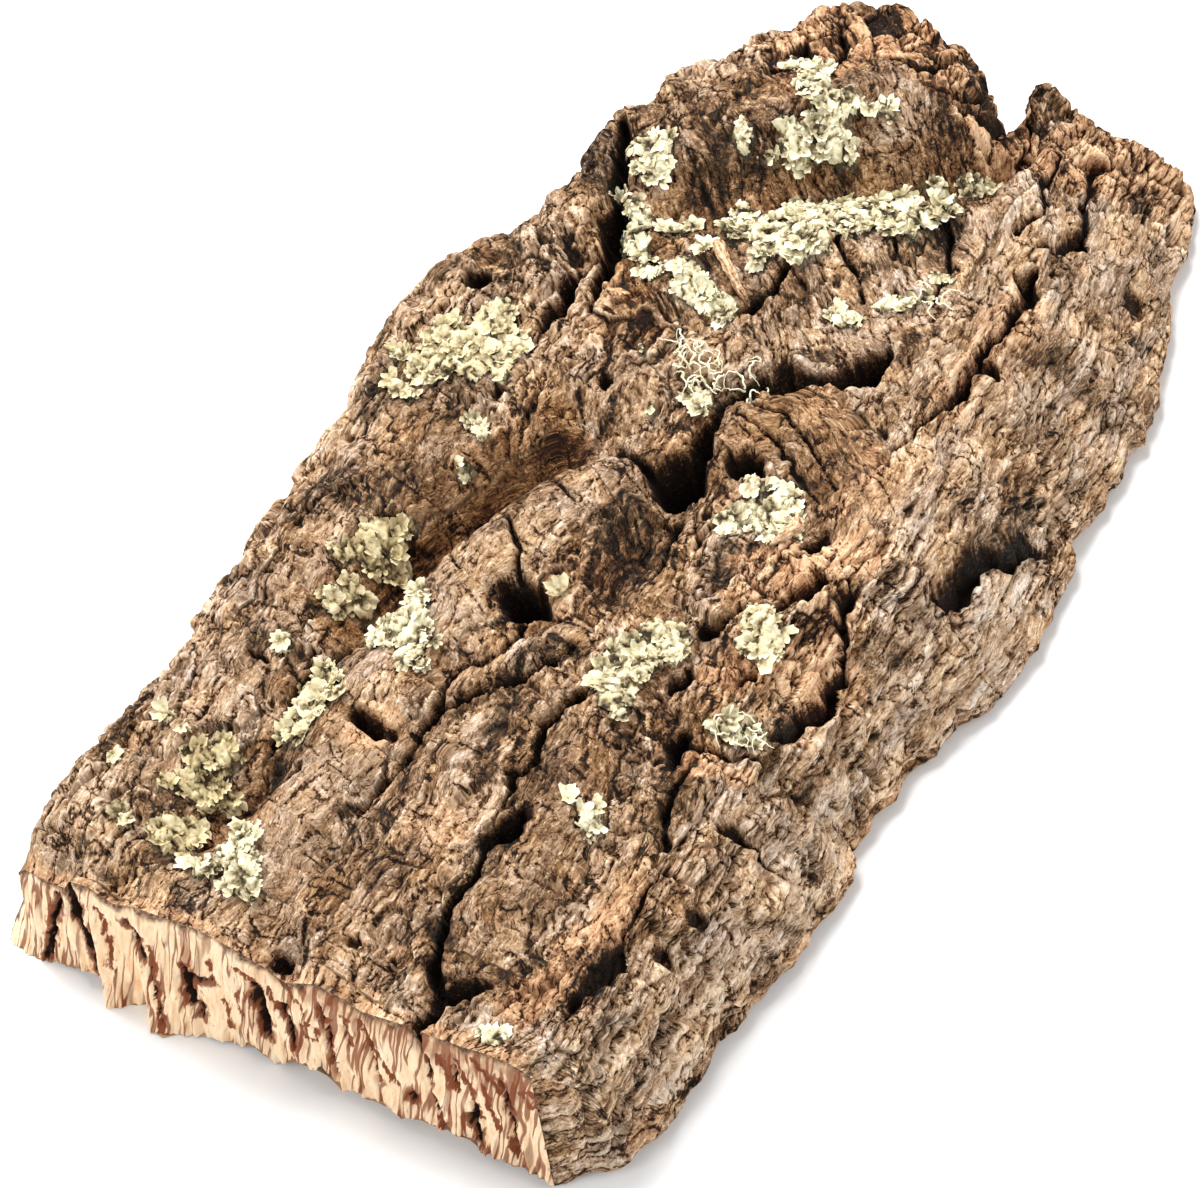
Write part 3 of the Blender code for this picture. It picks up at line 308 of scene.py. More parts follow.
# Fissures: (x, y, half width, depth) along each
FISSURES = {
    "long fissure": [
        (-142, -26, 1.4, 9), (-136, -27, 1.6, 10), (-132, -26, 1.8, 10), (-127, -21.5, 1.5, 9),
        (-121, -20, 1.2, 9), (-113, -19, 1.5, 9), (-106, -19.5, 1.1, 9), (-100, -19, 1.6, 9),
        (-96, -20, 3.0, 9), (-92, -22, 2.6, 9), (-91, -24, 1.2, 4)],
    "long fissure middle": [(-91, -17, 0.6, 4), (-86, -16, 0.9, 6), (-82, -14, 1.4, 7), (-80, -18, 0.9, 5)],
    "long fissure end": [
        (-80, -18, 0.8, 5), (-76, -16, 1.1, 7), (-70, -15.5, 1.2, 7), (-66, -17, 1.0, 7),
        (-62, -19.5, 1.3, 7), (-57, -18.5, 1.0, 6), (-52, -17.5, 1.0, 6), (-47, -19.5, 0.8, 5)],
    "tongue front": [(-134, -27, 1.8, 8), (-131, -30, 2.4, 9), (-128.5, -35, 1.6, 7)],
    "furrow crack": [
        (-104, 12.5, 0.8, 3), (-97, 12, 0.8, 4), (-90, 10.5, 0.7, 4), (-80, 10.5, 1.0, 4),
        (-76, 9.5, 2.0, 7), (-72, 9.5, 0.9, 5), (-66, 7.5, 0.6, 4), (-60, 3.5, 0.8, 4),
        (-55, 2, 0.8, 4), (-50, 2, 1.0, 6)],
    "knuckle crack": [
        (-76, 9, 1.4, 6), (-73, 4, 0.7, 4), (-66, -2, 0.7, 4), (-60, -7, 0.8, 4), (-56, -10, 1.2, 5),
        (-50, -11, 0.8, 3)],
    "tongue edge front": [(-119, 37, 1.2, 5), (-112, 35.5, 1.4, 6), (-105, 33, 1.0, 5), (-99, 30, 0.7, 3)],
    "tongue edge": [
        (-66, 34, 1.2, 5), (-58, 31.5, 1.3, 6), (-50, 29.5, 1.3, 6), (-42, 28.8, 1.2, 6),
        (-35, 26.5, 1.2, 6), (-28, 23, 1.2, 6), (-20, 20.5, 1.3, 6), (-13, 17, 1.4, 6),
        (-6, 12, 1.8, 7), (-2, 7, 2.2, 8), (-3, 0, 1.2, 6), (-5, -7, 1.5, 6)],
    "lichen ledge": [
        (-97, 39.5, 0.7, 4), (-88, 41, 1.0, 5), (-80, 42, 1.2, 6), (-74, 40, 1.3, 6), (-68, 38.5, 1.2, 5)],
    "saddle crack": [(-27, -19.5, 0.8, 5), (-20, -18, 1.0, 6), (-13, -15.5, 1.2, 6)],
    "great fissure": [
        (-5, -10, 3.6, 13), (-1, -12.5, 4.4, 15), (4, -13, 3.4, 15), (9, -14, 2.0, 14),
        (15, -13, 2.0, 14), (20, -13.5, 2.4, 14), (25, -19, 3.2, 14), (29, -22.5, 3.2, 14),
        (31.5, -26, 1.6, 10), (33, -31, 1.5, 9), (36, -36, 3.0, 12), (40, -38.5, 3.6, 13), (43, -40, 1.8, 9)],
    "left gap": [(22, 38, 1.2, 6), (28, 38.5, 2.2, 9), (34, 39, 2.4, 9), (39, 38, 1.2, 6)],
    "black gap": [
        (30, 30.5, 0.9, 6), (36, 32, 1.5, 9), (42, 32.5, 2.8, 13), (48, 34, 3.0, 13), (54, 37, 2.8, 13),
        (59, 38.5, 2.2, 12), (63, 41, 1.6, 10), (70, 43, 2.3, 11), (76, 46, 2.0, 10), (81, 48.5, 1.2, 7)],
    "chunk fissure": [
        (-36, -35, 1.2, 5), (-34, -37.5, 1.4, 6), (-29, -40, 1.0, 5), (-26, -43.5, 1.0, 5),
        (-25, -48, 1.2, 5), (-20, -51, 2.2, 7), (-15, -53.5, 1.6, 6)],
    "low fissure": [
        (-52, -58, 0.9, 5), (-46, -60.5, 1.6, 7), (-41, -62, 2.0, 8), (-36, -63, 1.8, 8),
        (-31, -65, 1.2, 6), (-27, -63.5, 1.0, 5), (-22, -61, 1.2, 6), (-17, -59.5, 2.2, 8)],
    "flank fissure": [
        (-5, -74, 0.8, 4), (-1, -75.2, 1.6, 6), (4, -77, 2.0, 7), (8, -76, 1.4, 6), (13, -77.5, 1.6, 7),
        (17, -79.5, 2.2, 8), (22, -81, 1.8, 7), (26, -83.8, 1.6, 6), (30, -85, 1.0, 4)],
    "hole line": [
        (20, -53, 0.5, 2), (28, -54.5, 0.6, 3), (36, -57, 0.7, 4), (43, -58, 1.6, 8), (48, -59, 1.4, 7),
        (56, -58.5, 0.6, 4), (64, -60, 1.2, 6), (70, -60, 1.8, 8), (75, -58.5, 2.0, 8), (79, -59, 0.9, 5)],
    "corner line": [
        (86, -57, 0.6, 3), (90, -60, 1.4, 6), (95, -60.3, 2.0, 8), (99, -60.3, 1.1, 5),
        (104, -57.5, 0.7, 4), (112, -55.5, 0.7, 4), (118, -53, 1.1, 5), (121, -51.5, 2.0, 7),
        (124.5, -54, 1.6, 6)],
    "slab line": [(85, -52, 0.6, 3), (93, -53, 0.9, 4), (97, -52, 0.7, 4), (103, -49, 0.6, 3),
                  (112, -47, 0.6, 3), (119, -45, 0.5, 2)],
    "ledge": [(-127, -53, 0.8, 3), (-122, -52.5, 1.8, 5), (-117, -53.5, 2.6, 6), (-111, -55.5, 2.2, 5),
              (-105, -54, 1.0, 4), (-99, -54, 0.8, 3), (-90, -54, 0.6, 3)],
    "arch": [(-84, -53, 1.4, 6), (-80, -50.5, 0.9, 4), (-76, -48, 0.8, 4), (-71, -47.5, 0.8, 4),
             (-68.5, -50, 0.7, 3)],
    "arch hole": [(-67, -45, 1.2, 5), (-63.5, -44, 2.6, 9), (-60, -44.5, 2.0, 8)],
    "slab side": [(-62, -47, 0.9, 3), (-60, -53, 0.9, 3), (-58, -59, 1.0, 4)],
    "flank crack": [(-76, -59, 1.0, 4), (-74, -62, 1.8, 5), (-73.5, -66, 0.6, 3), (-73.5, -71, 0.5, 2)],
    "curl hole": [(3.5, -23, 2.0, 8), (4.5, -26.5, 2.6, 11), (4, -29, 1.4, 6)],
    "curl groove": [(19, -19, 0.7, 2.5), (17, -29, 0.7, 2.5), (12, -38, 0.7, 2.5), (6, -47, 0.7, 2)],
    "curl inner groove": [(13, -18.5, 0.6, 2.5), (12, -27, 0.7, 2.5), (7, -36, 0.7, 2.5), (1, -44, 0.6, 2)],
    "low left hole": [(-9, -47.5, 2.0, 6), (-6, -49, 1.6, 5)],
    "chunk hole": [(-50.5, -36, 1.4, 6), (-48.5, -37.5, 1.4, 5)],
    "chunk pit": [(-44, -49, 1.4, 5), (-41.5, -50.5, 1.2, 4)],
    "ridge crack": [(41, -3, 1.0, 6), (43, -6.5, 1.6, 8), (46, -9.5, 1.2, 7), (52, -10, 1.0, 6),
                    (58, -9, 0.8, 4)],
    "ridge split": [(55, -28, 0.6, 4), (59, -24, 0.7, 4), (64, -18, 0.7, 4), (68, -14, 0.9, 5),
                    (71, -11, 1.1, 6)],
    "ridge split low": [(66, -31, 0.6, 3), (72, -28, 0.7, 3), (78, -28, 0.6, 3)],
    "shadow hole": [(70, 8, 1.6, 6), (71, 6, 1.2, 5)],
    "tongue crack": [(-41.5, 6.5, 0.9, 4), (-37, 9.5, 0.7, 3.5), (-33, 13, 0.8, 4), (-30.5, 16, 0.7, 3)],
    "tongue crack high": [(-45, 19.5, 0.5, 2), (-43, 23, 0.5, 2), (-38.5, 26.5, 0.5, 2)],
    "tongue crack head": [(-19.5, 4, 0.5, 2), (-17, 8, 0.5, 2), (-14.5, 15, 0.6, 3)],
    "end crack high": [(108, 9, 1.2, 4), (114, 8, 1.6, 6), (118, 9.5, 1.2, 5), (123, 12, 1.2, 5),
                       (127, 15, 1.4, 6)],
    "end crack middle": [(119, 5, 0.6, 3), (117, -1, 0.7, 4), (118, -6, 0.8, 4), (117, -12, 1.8, 7),
                         (121, -14, 2.4, 8), (124, -17, 1.8, 7)],
    "end crack low": [(111, -16, 0.7, 3), (113, -22, 0.8, 4), (116, -26, 0.9, 5), (120, -25, 1.0, 5),
                      (123, -24, 1.0, 5)],
    "end crack toe": [(112, -28, 0.7, 4), (116, -30, 0.8, 5), (120, -32, 0.8, 5)],
    "ridge foot": [(60, -43, 0.6, 3), (70, -42, 0.7, 4), (78, -38, 0.9, 5), (84, -34, 1.2, 6),
                   (89, -31, 1.6, 7)],
}

# Holes: x, y, radius along x, radius along y, depth
HOLES = [
    (-85, 20, 2.4, 4.4, 10), (-45, 4.5, 3.4, 6.5, 14), (28.5, 59, 2.2, 3.2, 9), (50.5, -61.4, 1.7, 1.7, 7),
    (-139.5, 11, 1.8, 1.6, 5), (-80, 53, 0.8, 2.6, 4), (-103.5, -61.5, 2.0, 1.5, 4),
    (-93.5, -62.5, 1.8, 1.6, 4), (95, -74.5, 3.2, 2.0, 6), (62, -83, 3.0, 1.2, 5), (79, -84, 2.2, 0.9, 4),
    (15, 17, 1.6, 1.3, 4),
]

# Lines that the grain follows, from FOLDS, and how far they reach
GRAIN_LINES = {
    "left shoulder": 9, "gully": 9, "first tongue": 13, "second tongue": 10, "third tongue": 11,
    "curl": 11, "nose": 5, "brown slope": 8, "rim curl": 5,
}

# Smoother bark: (x, y) along a line, its reach, and how smooth it is
SMOOTH_BARK = [
    ([(-128, 27), (-90, 25), (-60, 23), (-40, 19), (-20, 11), (-8, 4)], 11, 0.9),
    ([(-60, 40), (-36, 36), (-20, 30), (-4, 22)], 8, 0.9),
    ([(-124, -29), (-100, -29), (-75, -27)], 9, 0.9),
    ([(-130, 2), (-110, 0), (-85, 0)], 6, 0.5),
    ([(5, -17), (14, -21), (18, -30), (14, -40), (6, -50)], 9, 0.85),
    ([(25, -30), (50, -45), (75, -48), (100, -52)], 10, 0.5),
    ([(30, -66), (60, -68), (90, -68), (110, -66)], 10, 0.45),
    ([(118, -46), (130, -60)], 7, 0.7),
    ([(112, -14), (104, -28), (96, -20)], 8, 0.5),
    ([(40, -16), (52, -12)], 4, 0.6),
    ([(50, 58), (70, 56)], 6, 0.5),
]

# Crumbly bark: (x, y) along a line, its reach, and how rough it is
ROUGH_BARK = [
    ([(-125, 72), (-90, 70), (-40, 72), (0, 76)], 13, 0.35),
    ([(-60, -44), (-35, -50), (-8, -58)], 13, 0.6),
    ([(-30, -8), (-12, -22), (0, -34)], 10, 0.5),
    ([(-136, -58), (-110, -60), (-80, -62)], 10, 0.4),
    ([(85, 45), (115, 25), (128, -5), (126, -30)], 12, 0.6),
    ([(15, 30), (30, 12), (20, -2)], 9, 0.4),
]

# Bark broken into angular chunks: (x, y) along a line, its reach, and how strong
CHUNKY_BARK = [
    ([(118, 26), (126, 12), (130, 0), (128, -16), (119, -29)], 10, 1.0),
    ([(125, -42), (127, -56), (124, -72)], 8, 0.8),
    ([(-12, -23), (-18, -36), (-16, -48), (-22, -57)], 9, 0.7),
    ([(44, 45), (33, 32), (27, 15)], 8, 0.7),
    ([(-46, -6), (-47, -16), (-60, -36)], 8, 0.5),
    ([(-110, 76), (-60, 76), (-10, 78)], 8, 0.5),
]
CHUNK_SIZE = 6.0

# Fresh orange breaks: (x, y) along a line, its reach, and how fresh it is
FRESH_BARK = [
    ([(-128, -43), (-115, -48), (-100, -52)], 5, 0.8),
    ([(-66, -48), (-63, -57)], 3.5, 0.9),
    ([(-46, -61), (-20, -64)], 4, 0.7),
    ([(-25, -40), (-12, -41)], 5, 0.9),
    ([(-22, -38), (-18, -46), (-17, -50)], 4.5, 1.2),
    ([(-11, -54), (-8, -59), (-4, -58)], 4, 1.2),
    ([(-44, -42), (-40, -49), (-38, -58), (-30, -62)], 3.5, 0.9),
    ([(-23, -63), (-30, -66), (-40, -62)], 3.5, 0.9),
    ([(5, -52), (14, -51)], 4, 0.6),
    ([(-104, -1), (-100, -10)], 4.5, 0.5),
    ([(36, -58), (70, -61)], 5, 0.6),
    ([(116, -44), (132, -58), (133, -72)], 9, 0.8),
    ([(110, 12), (125, 20), (130, -2), (123, -18), (116, -34)], 9, 0.9),
    ([(-102, 86), (-60, 84)], 3.5, 0.9),
    ([(-141, -50), (-141, 84)], 2.2, 0.7),
    ([(-87, 20), (-83, 20)], 4.5, 0.8),
]

# Darker, paler and browner bark: (x, y) along a line, its reach, and how strong. The first two dark lines are
# painted shadow in the gullies just beyond the first tongue's crest.
DARK_AND_SHADED_BARK = [
    ([(-53, 41), (-40, 39), (-28, 35), (-19, 31), (-11, 28), (-4, 22), (0, 16)], 3.0, 1.2),
    ([(-110, 40), (-106, 39), (-102, 37), (-98, 33), (-92, 31)], 2.6, 1.5),
    ([(-124, -29), (-100, -29), (-75, -27)], 11, 0.7),
    ([(-135, 8), (-100, 0), (-70, -2)], 10, 0.35),
    ([(72, 44), (84, 30), (100, 14), (118, 8), (128, -10)], 15, 0.8),
    ([(104, 20), (122, 20), (132, 0), (126, -24)], 14, 0.5),
    ([(110, -34), (125, -52)], 14, 0.6),
    ([(-34, -12), (-20, -14), (-8, -4)], 8, 0.9),
    ([(20, 22), (34, 14), (44, 22)], 9, 0.5),
]
PALE_BARK = [
    ([(-20, -68), (30, -70), (80, -66), (110, -62)], 20, 0.9),
    ([(-130, -62), (-90, -62), (-40, -64)], 14, 0.8),
    ([(-110, -70), (-70, -76), (-30, -80), (10, -88)], 9, 1.8),
    ([(-120, 72), (-80, 72), (-30, 72)], 16, 0.5),
    ([(-124, -29), (-100, -29), (-75, -27)], 8, 0.4),
    ([(-110, 28), (-90, 25), (-60, 23), (-30, 15)], 7, 0.4),
    ([(118, -46), (130, -60)], 7, 0.9),
    ([(62, -20), (63, -34), (58, -36)], 5, 1.3),
    ([(63, 35), (65, 26)], 3.5, 1.2),
    ([(-104, -1), (-100, -10)], 6, 1.3),
    ([(-22, -38), (-17, -50)], 4, 1.0),
    ([(-11, -54), (-5, -58)], 4, 1.0),
]
BROWN_BARK = [
    ([(-60, 42), (-36, 38), (-20, 32), (-4, 24)], 9, 1.0),
    ([(-118, 42), (-100, 40)], 6, 0.9),
    ([(4, -16), (14, -20), (20, -28), (16, -40), (8, -50)], 10, 0.6),
    ([(60, 26), (75, 8), (88, -16), (100, -32)], 8, 0.8),
    ([(30, 20), (45, 30), (55, 30)], 8, 0.7),
    ([(-60, -45), (-40, -48), (-20, -56)], 9, 0.6),
    ([(-120, -50), (-90, -54)], 7, 0.5),
    ([(-45, 2), (-30, -8)], 8, 0.6),
    ([(105, 15), (125, 5), (125, -20)], 10, 0.5),
]

# Loose bars of fresh orange bark: (x, y, height over the bark, radius) along each
BARS = [
    [(56, 10, 0.6, 1.2), (54, 8, 1.2, 2.0), (51.5, 5.5, 1.4, 1.6), (49, 3, 1.4, 1.1), (46.5, 0, 1.4, 1.2),
     (44.5, -3, 1.2, 1.3), (43, -5.5, 0.6, 0.8)],
    [(-2, -41, 0.3, 0.8), (-6, -43, 0.9, 1.6), (-10, -42, 0.8, 1.3), (-13, -40, 0.2, 0.7)],
]
BAR_SIDES = 24
BAR_STEPS = 90
BAR_BLUR = 6

# Lichen patches, by the name of their solid after lichen_: outlines of the growths
LICHENS = {
    "front_shoulder": [
        [(-123, 55), (-122, 53), (-119, 52), (-119, 51), (-117, 49), (-118, 47), (-121, 44), (-124, 43),
         (-125, 46), (-126, 48), (-128, 48), (-128, 50), (-127, 53)],
    ],
    "front_gully": [
        [(-104, 55), (-102, 53), (-99, 50), (-100, 48), (-99, 46), (-101, 45), (-103, 46), (-105, 46),
         (-106, 47), (-107, 45), (-108, 42), (-110, 42), (-112, 43), (-113, 45), (-114, 47), (-115, 48),
         (-114, 51), (-114, 53), (-115, 55), (-115, 59), (-114, 58), (-112, 55), (-110, 53), (-108, 53),
         (-107, 56)],
    ],
    "front_tongue": [
        [(-117, 34), (-115, 31), (-117, 28), (-121, 27), (-123, 24), (-125, 23), (-129, 22), (-130, 21),
         (-132, 26), (-132, 28), (-130, 30), (-127, 31), (-130, 34), (-131, 36), (-129, 40), (-128, 43),
         (-126, 40), (-127, 37), (-125, 35), (-121, 34)],
    ],
    "ledge": [
        [(-75, 41), (-73, 40), (-73, 37), (-76, 32), (-79, 32), (-81, 29), (-82, 33), (-86, 31), (-87,
         33), (-90, 33), (-93, 32), (-93, 36), (-93, 39), (-92, 41), (-89, 40), (-89, 41), (-86, 41),
         (-83, 41), (-80, 43), (-78, 42)],
    ],
    "gully_left": [
        [(-58, 50), (-56, 48), (-53, 47), (-53, 45), (-52, 44), (-53, 42), (-54, 41), (-57, 40), (-59,
         41), (-59, 43), (-62, 44), (-63, 45), (-62, 48)],
    ],
    "gully_right": [
        [(-40, 50), (-37, 49), (-36, 46), (-33, 44), (-32, 41), (-34, 41), (-37, 42), (-40, 41), (-40,
         40), (-41, 39), (-46, 39), (-47, 40), (-47, 42), (-49, 43), (-49, 44), (-48, 47), (-50, 49),
         (-51, 53), (-49, 53), (-47, 51), (-45, 49), (-43, 49)],
    ],
    "tongue": [
        [(-56, 28), (-52, 26), (-51, 24), (-54, 22), (-57, 20), (-60, 18), (-63, 15), (-65, 17), (-68,
         14), (-70, 16), (-70, 18), (-71, 20), (-69, 23), (-66, 24), (-68, 26), (-68, 30), (-66, 34),
         (-63, 33), (-61, 31), (-62, 29), (-60, 27)],
    ],
    "wall_small": [
        [(-16, 39), (-15, 37), (-16, 35), (-18, 35), (-19, 37), (-18, 39)],
    ],
    "wall_slim": [
        [(-7, 42), (-5, 41), (-6, 38), (-7, 35), (-8, 34), (-11, 35), (-10, 38), (-9, 40)],
    ],
    "left_large": [
        [(14, 61), (16, 58), (15, 54), (19, 53), (22, 52), (24, 50), (24, 47), (22, 45), (21, 45), (19,
         43), (16, 39), (11, 38), (8, 38), (6, 36), (4, 38), (4, 40), (6, 43), (3, 44), (1, 45), (2, 50),
         (-1, 52), (-3, 56), (-2, 60), (4, 60), (7, 61), (10, 61)],
        [(2, 68), (5, 67), (5, 62), (2, 62), (0, 65)],
        [(-5, 65), (-4, 61), (-5, 55), (-8, 55), (-9, 58), (-8, 62)],
    ],
    "rim": [
        [(75, 43), (78, 39), (79, 35), (78, 32), (76, 31), (75, 32), (73, 31), (70, 30), (67, 33), (66,
         36), (68, 38), (71, 37), (72, 44), (74, 45), (73, 42)],
    ],
    "black_gap": [
        [(60, 41), (65, 42), (62, 35), (60, 33), (60, 30), (57, 32), (58, 35), (61, 37)],
        [(56, 35), (57, 34), (55, 32), (56, 27), (52, 25), (49, 24), (47, 22), (42, 23), (46, 26), (49,
         31), (55, 37), (56, 38)],
        [(56, 27), (60, 27), (66, 22), (64, 21), (55, 19), (54, 24)],
    ],
    "second_ridge": [
        [(49, 19), (49, 12), (46, 6), (43, 2), (43, -2), (40, -4), (36, -5), (35, -2), (37, 3), (38, 7),
         (39, 10), (39, 13), (43, 14)],
        [(42, 22), (45, 20), (48, 19), (44, 16), (40, 18)],
        [(50, 13), (55, 13), (52, 8), (49, 10)],
    ],
    "band_upper": [
        [(60, 12), (69, 16), (72, 15), (74, 12), (72, 10), (65, 4), (67, 0), (69, 0), (78, 4), (79, 2),
         (81, -2), (83, -5), (74, -13), (70, -13), (66, -14), (63, -16), (61, -19), (59, -16), (57, -14),
         (55, -13), (55, -10), (56, -7), (53, -6), (51, -5), (51, -3), (53, -1), (57, -1), (58, 3), (58,
         8)],
    ],
    "band_lower": [
        [(83, -5), (84, -9), (87, -13), (90, -16), (91, -20), (91, -22), (78, -31), (80, -34), (85, -36),
         (83, -39), (79, -36), (75, -34), (71, -33), (71, -31), (70, -29), (71, -26), (71, -24), (67,
         -22), (65, -19), (65, -18), (69, -14), (74, -13)],
    ],
    "band_foot": [
        [(94, -22), (96, -24), (97, -27), (95, -29), (93, -25)],
        [(86, -30), (92, -29), (93, -33), (86, -36), (82, -35)],
        [(98, -29), (101, -30), (100, -33), (97, -32)],
        [(101, -31), (104, -33), (105, -35), (101, -35)],
        [(105, -35), (108, -36), (104, -41), (101, -40)],
    ],
    "crest": [
        [(98, 9), (99, 6), (101, 3), (101, 0), (103, -2), (102, -5), (100, -6), (102, -9), (104, -13),
         (102, -15), (100, -13), (100, -10), (99, -6), (96, -4), (95, -4), (93, -6), (92, -8), (90, -8),
         (89, -5), (88, -2), (86, 0), (85, 1), (83, 3), (83, 6), (84, 7), (81, 12), (81, 13), (84, 10),
         (86, 7), (87, 9), (90, 8), (90, 5), (92, 5), (94, 4), (96, 5)],
        [(112, 20), (114, 19), (113, 15), (110, 11), (112, 9), (103, 3), (100, 2), (99, 6), (99, 11),
         (103, 12), (104, 10), (108, 15), (108, 19)],
        [(84, 19), (86, 17), (84, 14), (81, 14), (80, 16), (82, 19)],
    ],
    "ridge_small": [
        [(47, -22), (50, -23), (51, -27), (50, -32), (48, -31), (46, -27), (46, -24)],
    ],
    "ridge_slim": [
        [(54, -27), (54, -31), (58, -36), (61, -41), (60, -42), (56, -40), (54, -39), (53, -36), (53,
         -31)],
        [(66, -39), (68, -42), (66, -46), (65, -45), (65, -42)],
    ],
    "bearded": [
        [(19, -2), (19, -5), (18, -9), (15, -11), (12, -10), (15, -5), (17, -2)],
        [(11, 5), (12, 3), (11, 2), (9, 3)],
        [(26, 15), (26, 13), (24, 11), (23, 13)],
    ],
    "curl": [
        [(-1, -27), (1, -26), (3, -29), (1, -31), (4, -34), (3, -36), (1, -39), (-1, -42), (-5, -44),
         (-9, -46), (-10, -42), (-13, -40), (-12, -37), (-11, -35), (-11, -30), (-14, -30), (-14, -27),
         (-12, -25), (-9, -26), (-6, -28), (-5, -31), (-3, -32), (-2, -29)],
    ],
    "centre": [
        [(-40, -23), (-38, -24), (-37, -26), (-39, -29), (-37, -32), (-38, -35), (-42, -35), (-44, -36),
         (-47, -35), (-47, -33), (-50, -32), (-52, -30), (-55, -31), (-57, -31), (-60, -31), (-63, -32),
         (-64, -29), (-63, -27), (-62, -25), (-59, -21), (-56, -20), (-52, -20), (-50, -18), (-48, -19),
         (-46, -21), (-44, -23)],
    ],
    "low_leafy": [
        [(-29, -42), (-26, -44), (-25, -46), (-28, -50), (-30, -52), (-33, -53), (-36, -54), (-38, -53),
         (-39, -51), (-38, -49), (-38, -47), (-38, -44), (-36, -43), (-34, -45), (-32, -42)],
    ],
    "low_bearded": [
        [(-56, -46), (-54, -48), (-53, -52), (-52, -55), (-48, -58), (-51, -57), (-54, -59), (-56, -58),
         (-55, -54), (-58, -51), (-58, -48)],
    ],
    "third_tongue": [
        [(-87, -34), (-84, -37), (-86, -39), (-90, -38), (-90, -36), (-88, -35)],
        [(-85, -29), (-84, -30), (-84, -33), (-86, -33), (-87, -30)],
        [(-101, -27), (-102, -29), (-103, -32), (-103, -29)],
    ],
    "sawn_end": [
        [(-137, -38), (-136, -40), (-136, -44), (-138, -46), (-140, -44), (-139, -41)],
    ],
}

# Small growths between the patches
LICHEN_BITS = [
    [(-38, 0), (-36, -1), (-38, -3), (-42, -4), (-41, -2)],
    [(-100, 66), (-98, 63), (-97, 63), (-100, 62), (-103, 63)],
    [(-102, 60), (-101, 56), (-103, 56), (-104, 58)],
    [(-116, 70), (-113, 72), (-112, 69), (-115, 67)],
    [(-128, 60), (-125, 62), (-123, 59), (-126, 57)],
    [(-78, 50), (-74, 52), (-71, 49), (-75, 47)],
]

# Patches that are duller and browner than the rest, and patches with threads: outlines of the threads
DULL_LICHENS = {
    "front_shoulder": 0.9, "front_gully": 1.0, "gully_left": 0.8, "gully_right": 1.0, "ledge": 0.5,
    "left_large": 0.6, "low_leafy": 0.5, "centre": 0.3,
}
USUAL_DULLNESS = 0.1
BITS_DULLNESS = 0.5
THREADS = {
    "bearded": [
        [(27, 5), (29, 2), (27, -2), (28, -5), (25, -8), (22, -10), (20, -10), (19, -5), (18, -3), (20, 1)],
        [(26, -12), (29, -14), (30, -16), (28, -17), (20, -19), (18, -18), (24, -13)],
    ],
    "low_bearded": [
        [(-56, -46), (-54, -48), (-52, -55), (-48, -58), (-51, -57), (-54, -59), (-56, -58), (-55, -54),
         (-58, -51), (-58, -48)],
    ],
    "ridge_slim": [[(60, -40), (63, -41), (60, -46), (58, -49), (57, -46)]],
}


# Noise and lines


def smooth(low, high, value):
    """0 below low, 1 above high, with a smooth turn between them."""
    t = np.clip((value - low) / (high - low), 0, 1)
    return t * t * (3 - 2 * t)


def along(points, x):
    """Second column of the points at x."""
    xs, ys = np.array(points, float).T
    return np.interp(x, xs, ys)


def gradient_noise(x, y, size, seed):
    """Smooth seeded noise, about -1 to 1, with lumps of the given size."""
    angle = np.random.default_rng(seed).uniform(0, 2 * math.pi, (NOISE_TILE, NOISE_TILE))
    i, j = np.floor(x / size).astype(int), np.floor(y / size).astype(int)
    u, v = x / size - i, y / size - j

    def corner(di, dj):
        turn = angle[(i + di) % NOISE_TILE, (j + dj) % NOISE_TILE]
        return np.cos(turn) * (u - di) + np.sin(turn) * (v - dj)

    su, sv = u * u * (3 - 2 * u), v * v * (3 - 2 * v)
    low = corner(0, 0) * (1 - su) + corner(1, 0) * su
    high = corner(0, 1) * (1 - su) + corner(1, 1) * su
    return 1.6 * (low * (1 - sv) + high * sv)


def summed(x, y, layers):
    """Sum of seeded noises; layers are (lump size, height, seed)."""
    return sum(height * gradient_noise(x, y, size, seed) for size, height, seed in layers)


def flakes(x, y, size, seed):
    """Broken flakes: distance to the nearest crack as a share of the size, each flake's level, its tilt."""
    rng = np.random.default_rng(seed)
    shift = rng.uniform(0.1, 0.9, (2, NOISE_TILE, NOISE_TILE))
    level = rng.uniform(-1, 1, (NOISE_TILE, NOISE_TILE))
    turn = rng.uniform(0, 2 * math.pi, (NOISE_TILE, NOISE_TILE))
    i, j = np.floor(x / size).astype(int), np.floor(y / size).astype(int)
    first = np.full(x.shape, np.inf)
    second = np.full(x.shape, np.inf)
    height = np.zeros(x.shape)
    tilt = np.zeros(x.shape)
    for di, dj in AROUND:
        a, b = (i + di) % NOISE_TILE, (j + dj) % NOISE_TILE
        dx = x / size - (i + di + shift[0, a, b])
        dy = y / size - (j + dj + shift[1, a, b])
        gap = np.hypot(dx, dy)
        closer = gap < first
        second = np.where(closer, first, np.minimum(second, gap))
        height = np.where(closer, level[a, b], height)
        tilt = np.where(closer, np.cos(turn[a, b]) * dx + np.sin(turn[a, b]) * dy, tilt)
        first = np.where(closer, gap, first)
    return second - first, height, tilt


def cracks(edge, share=CRACK_SHARE):
    """1 in the crack between two flakes, 0 away from it."""
    return np.exp(-((edge / share) ** 2))


# Shape and relief of the bark


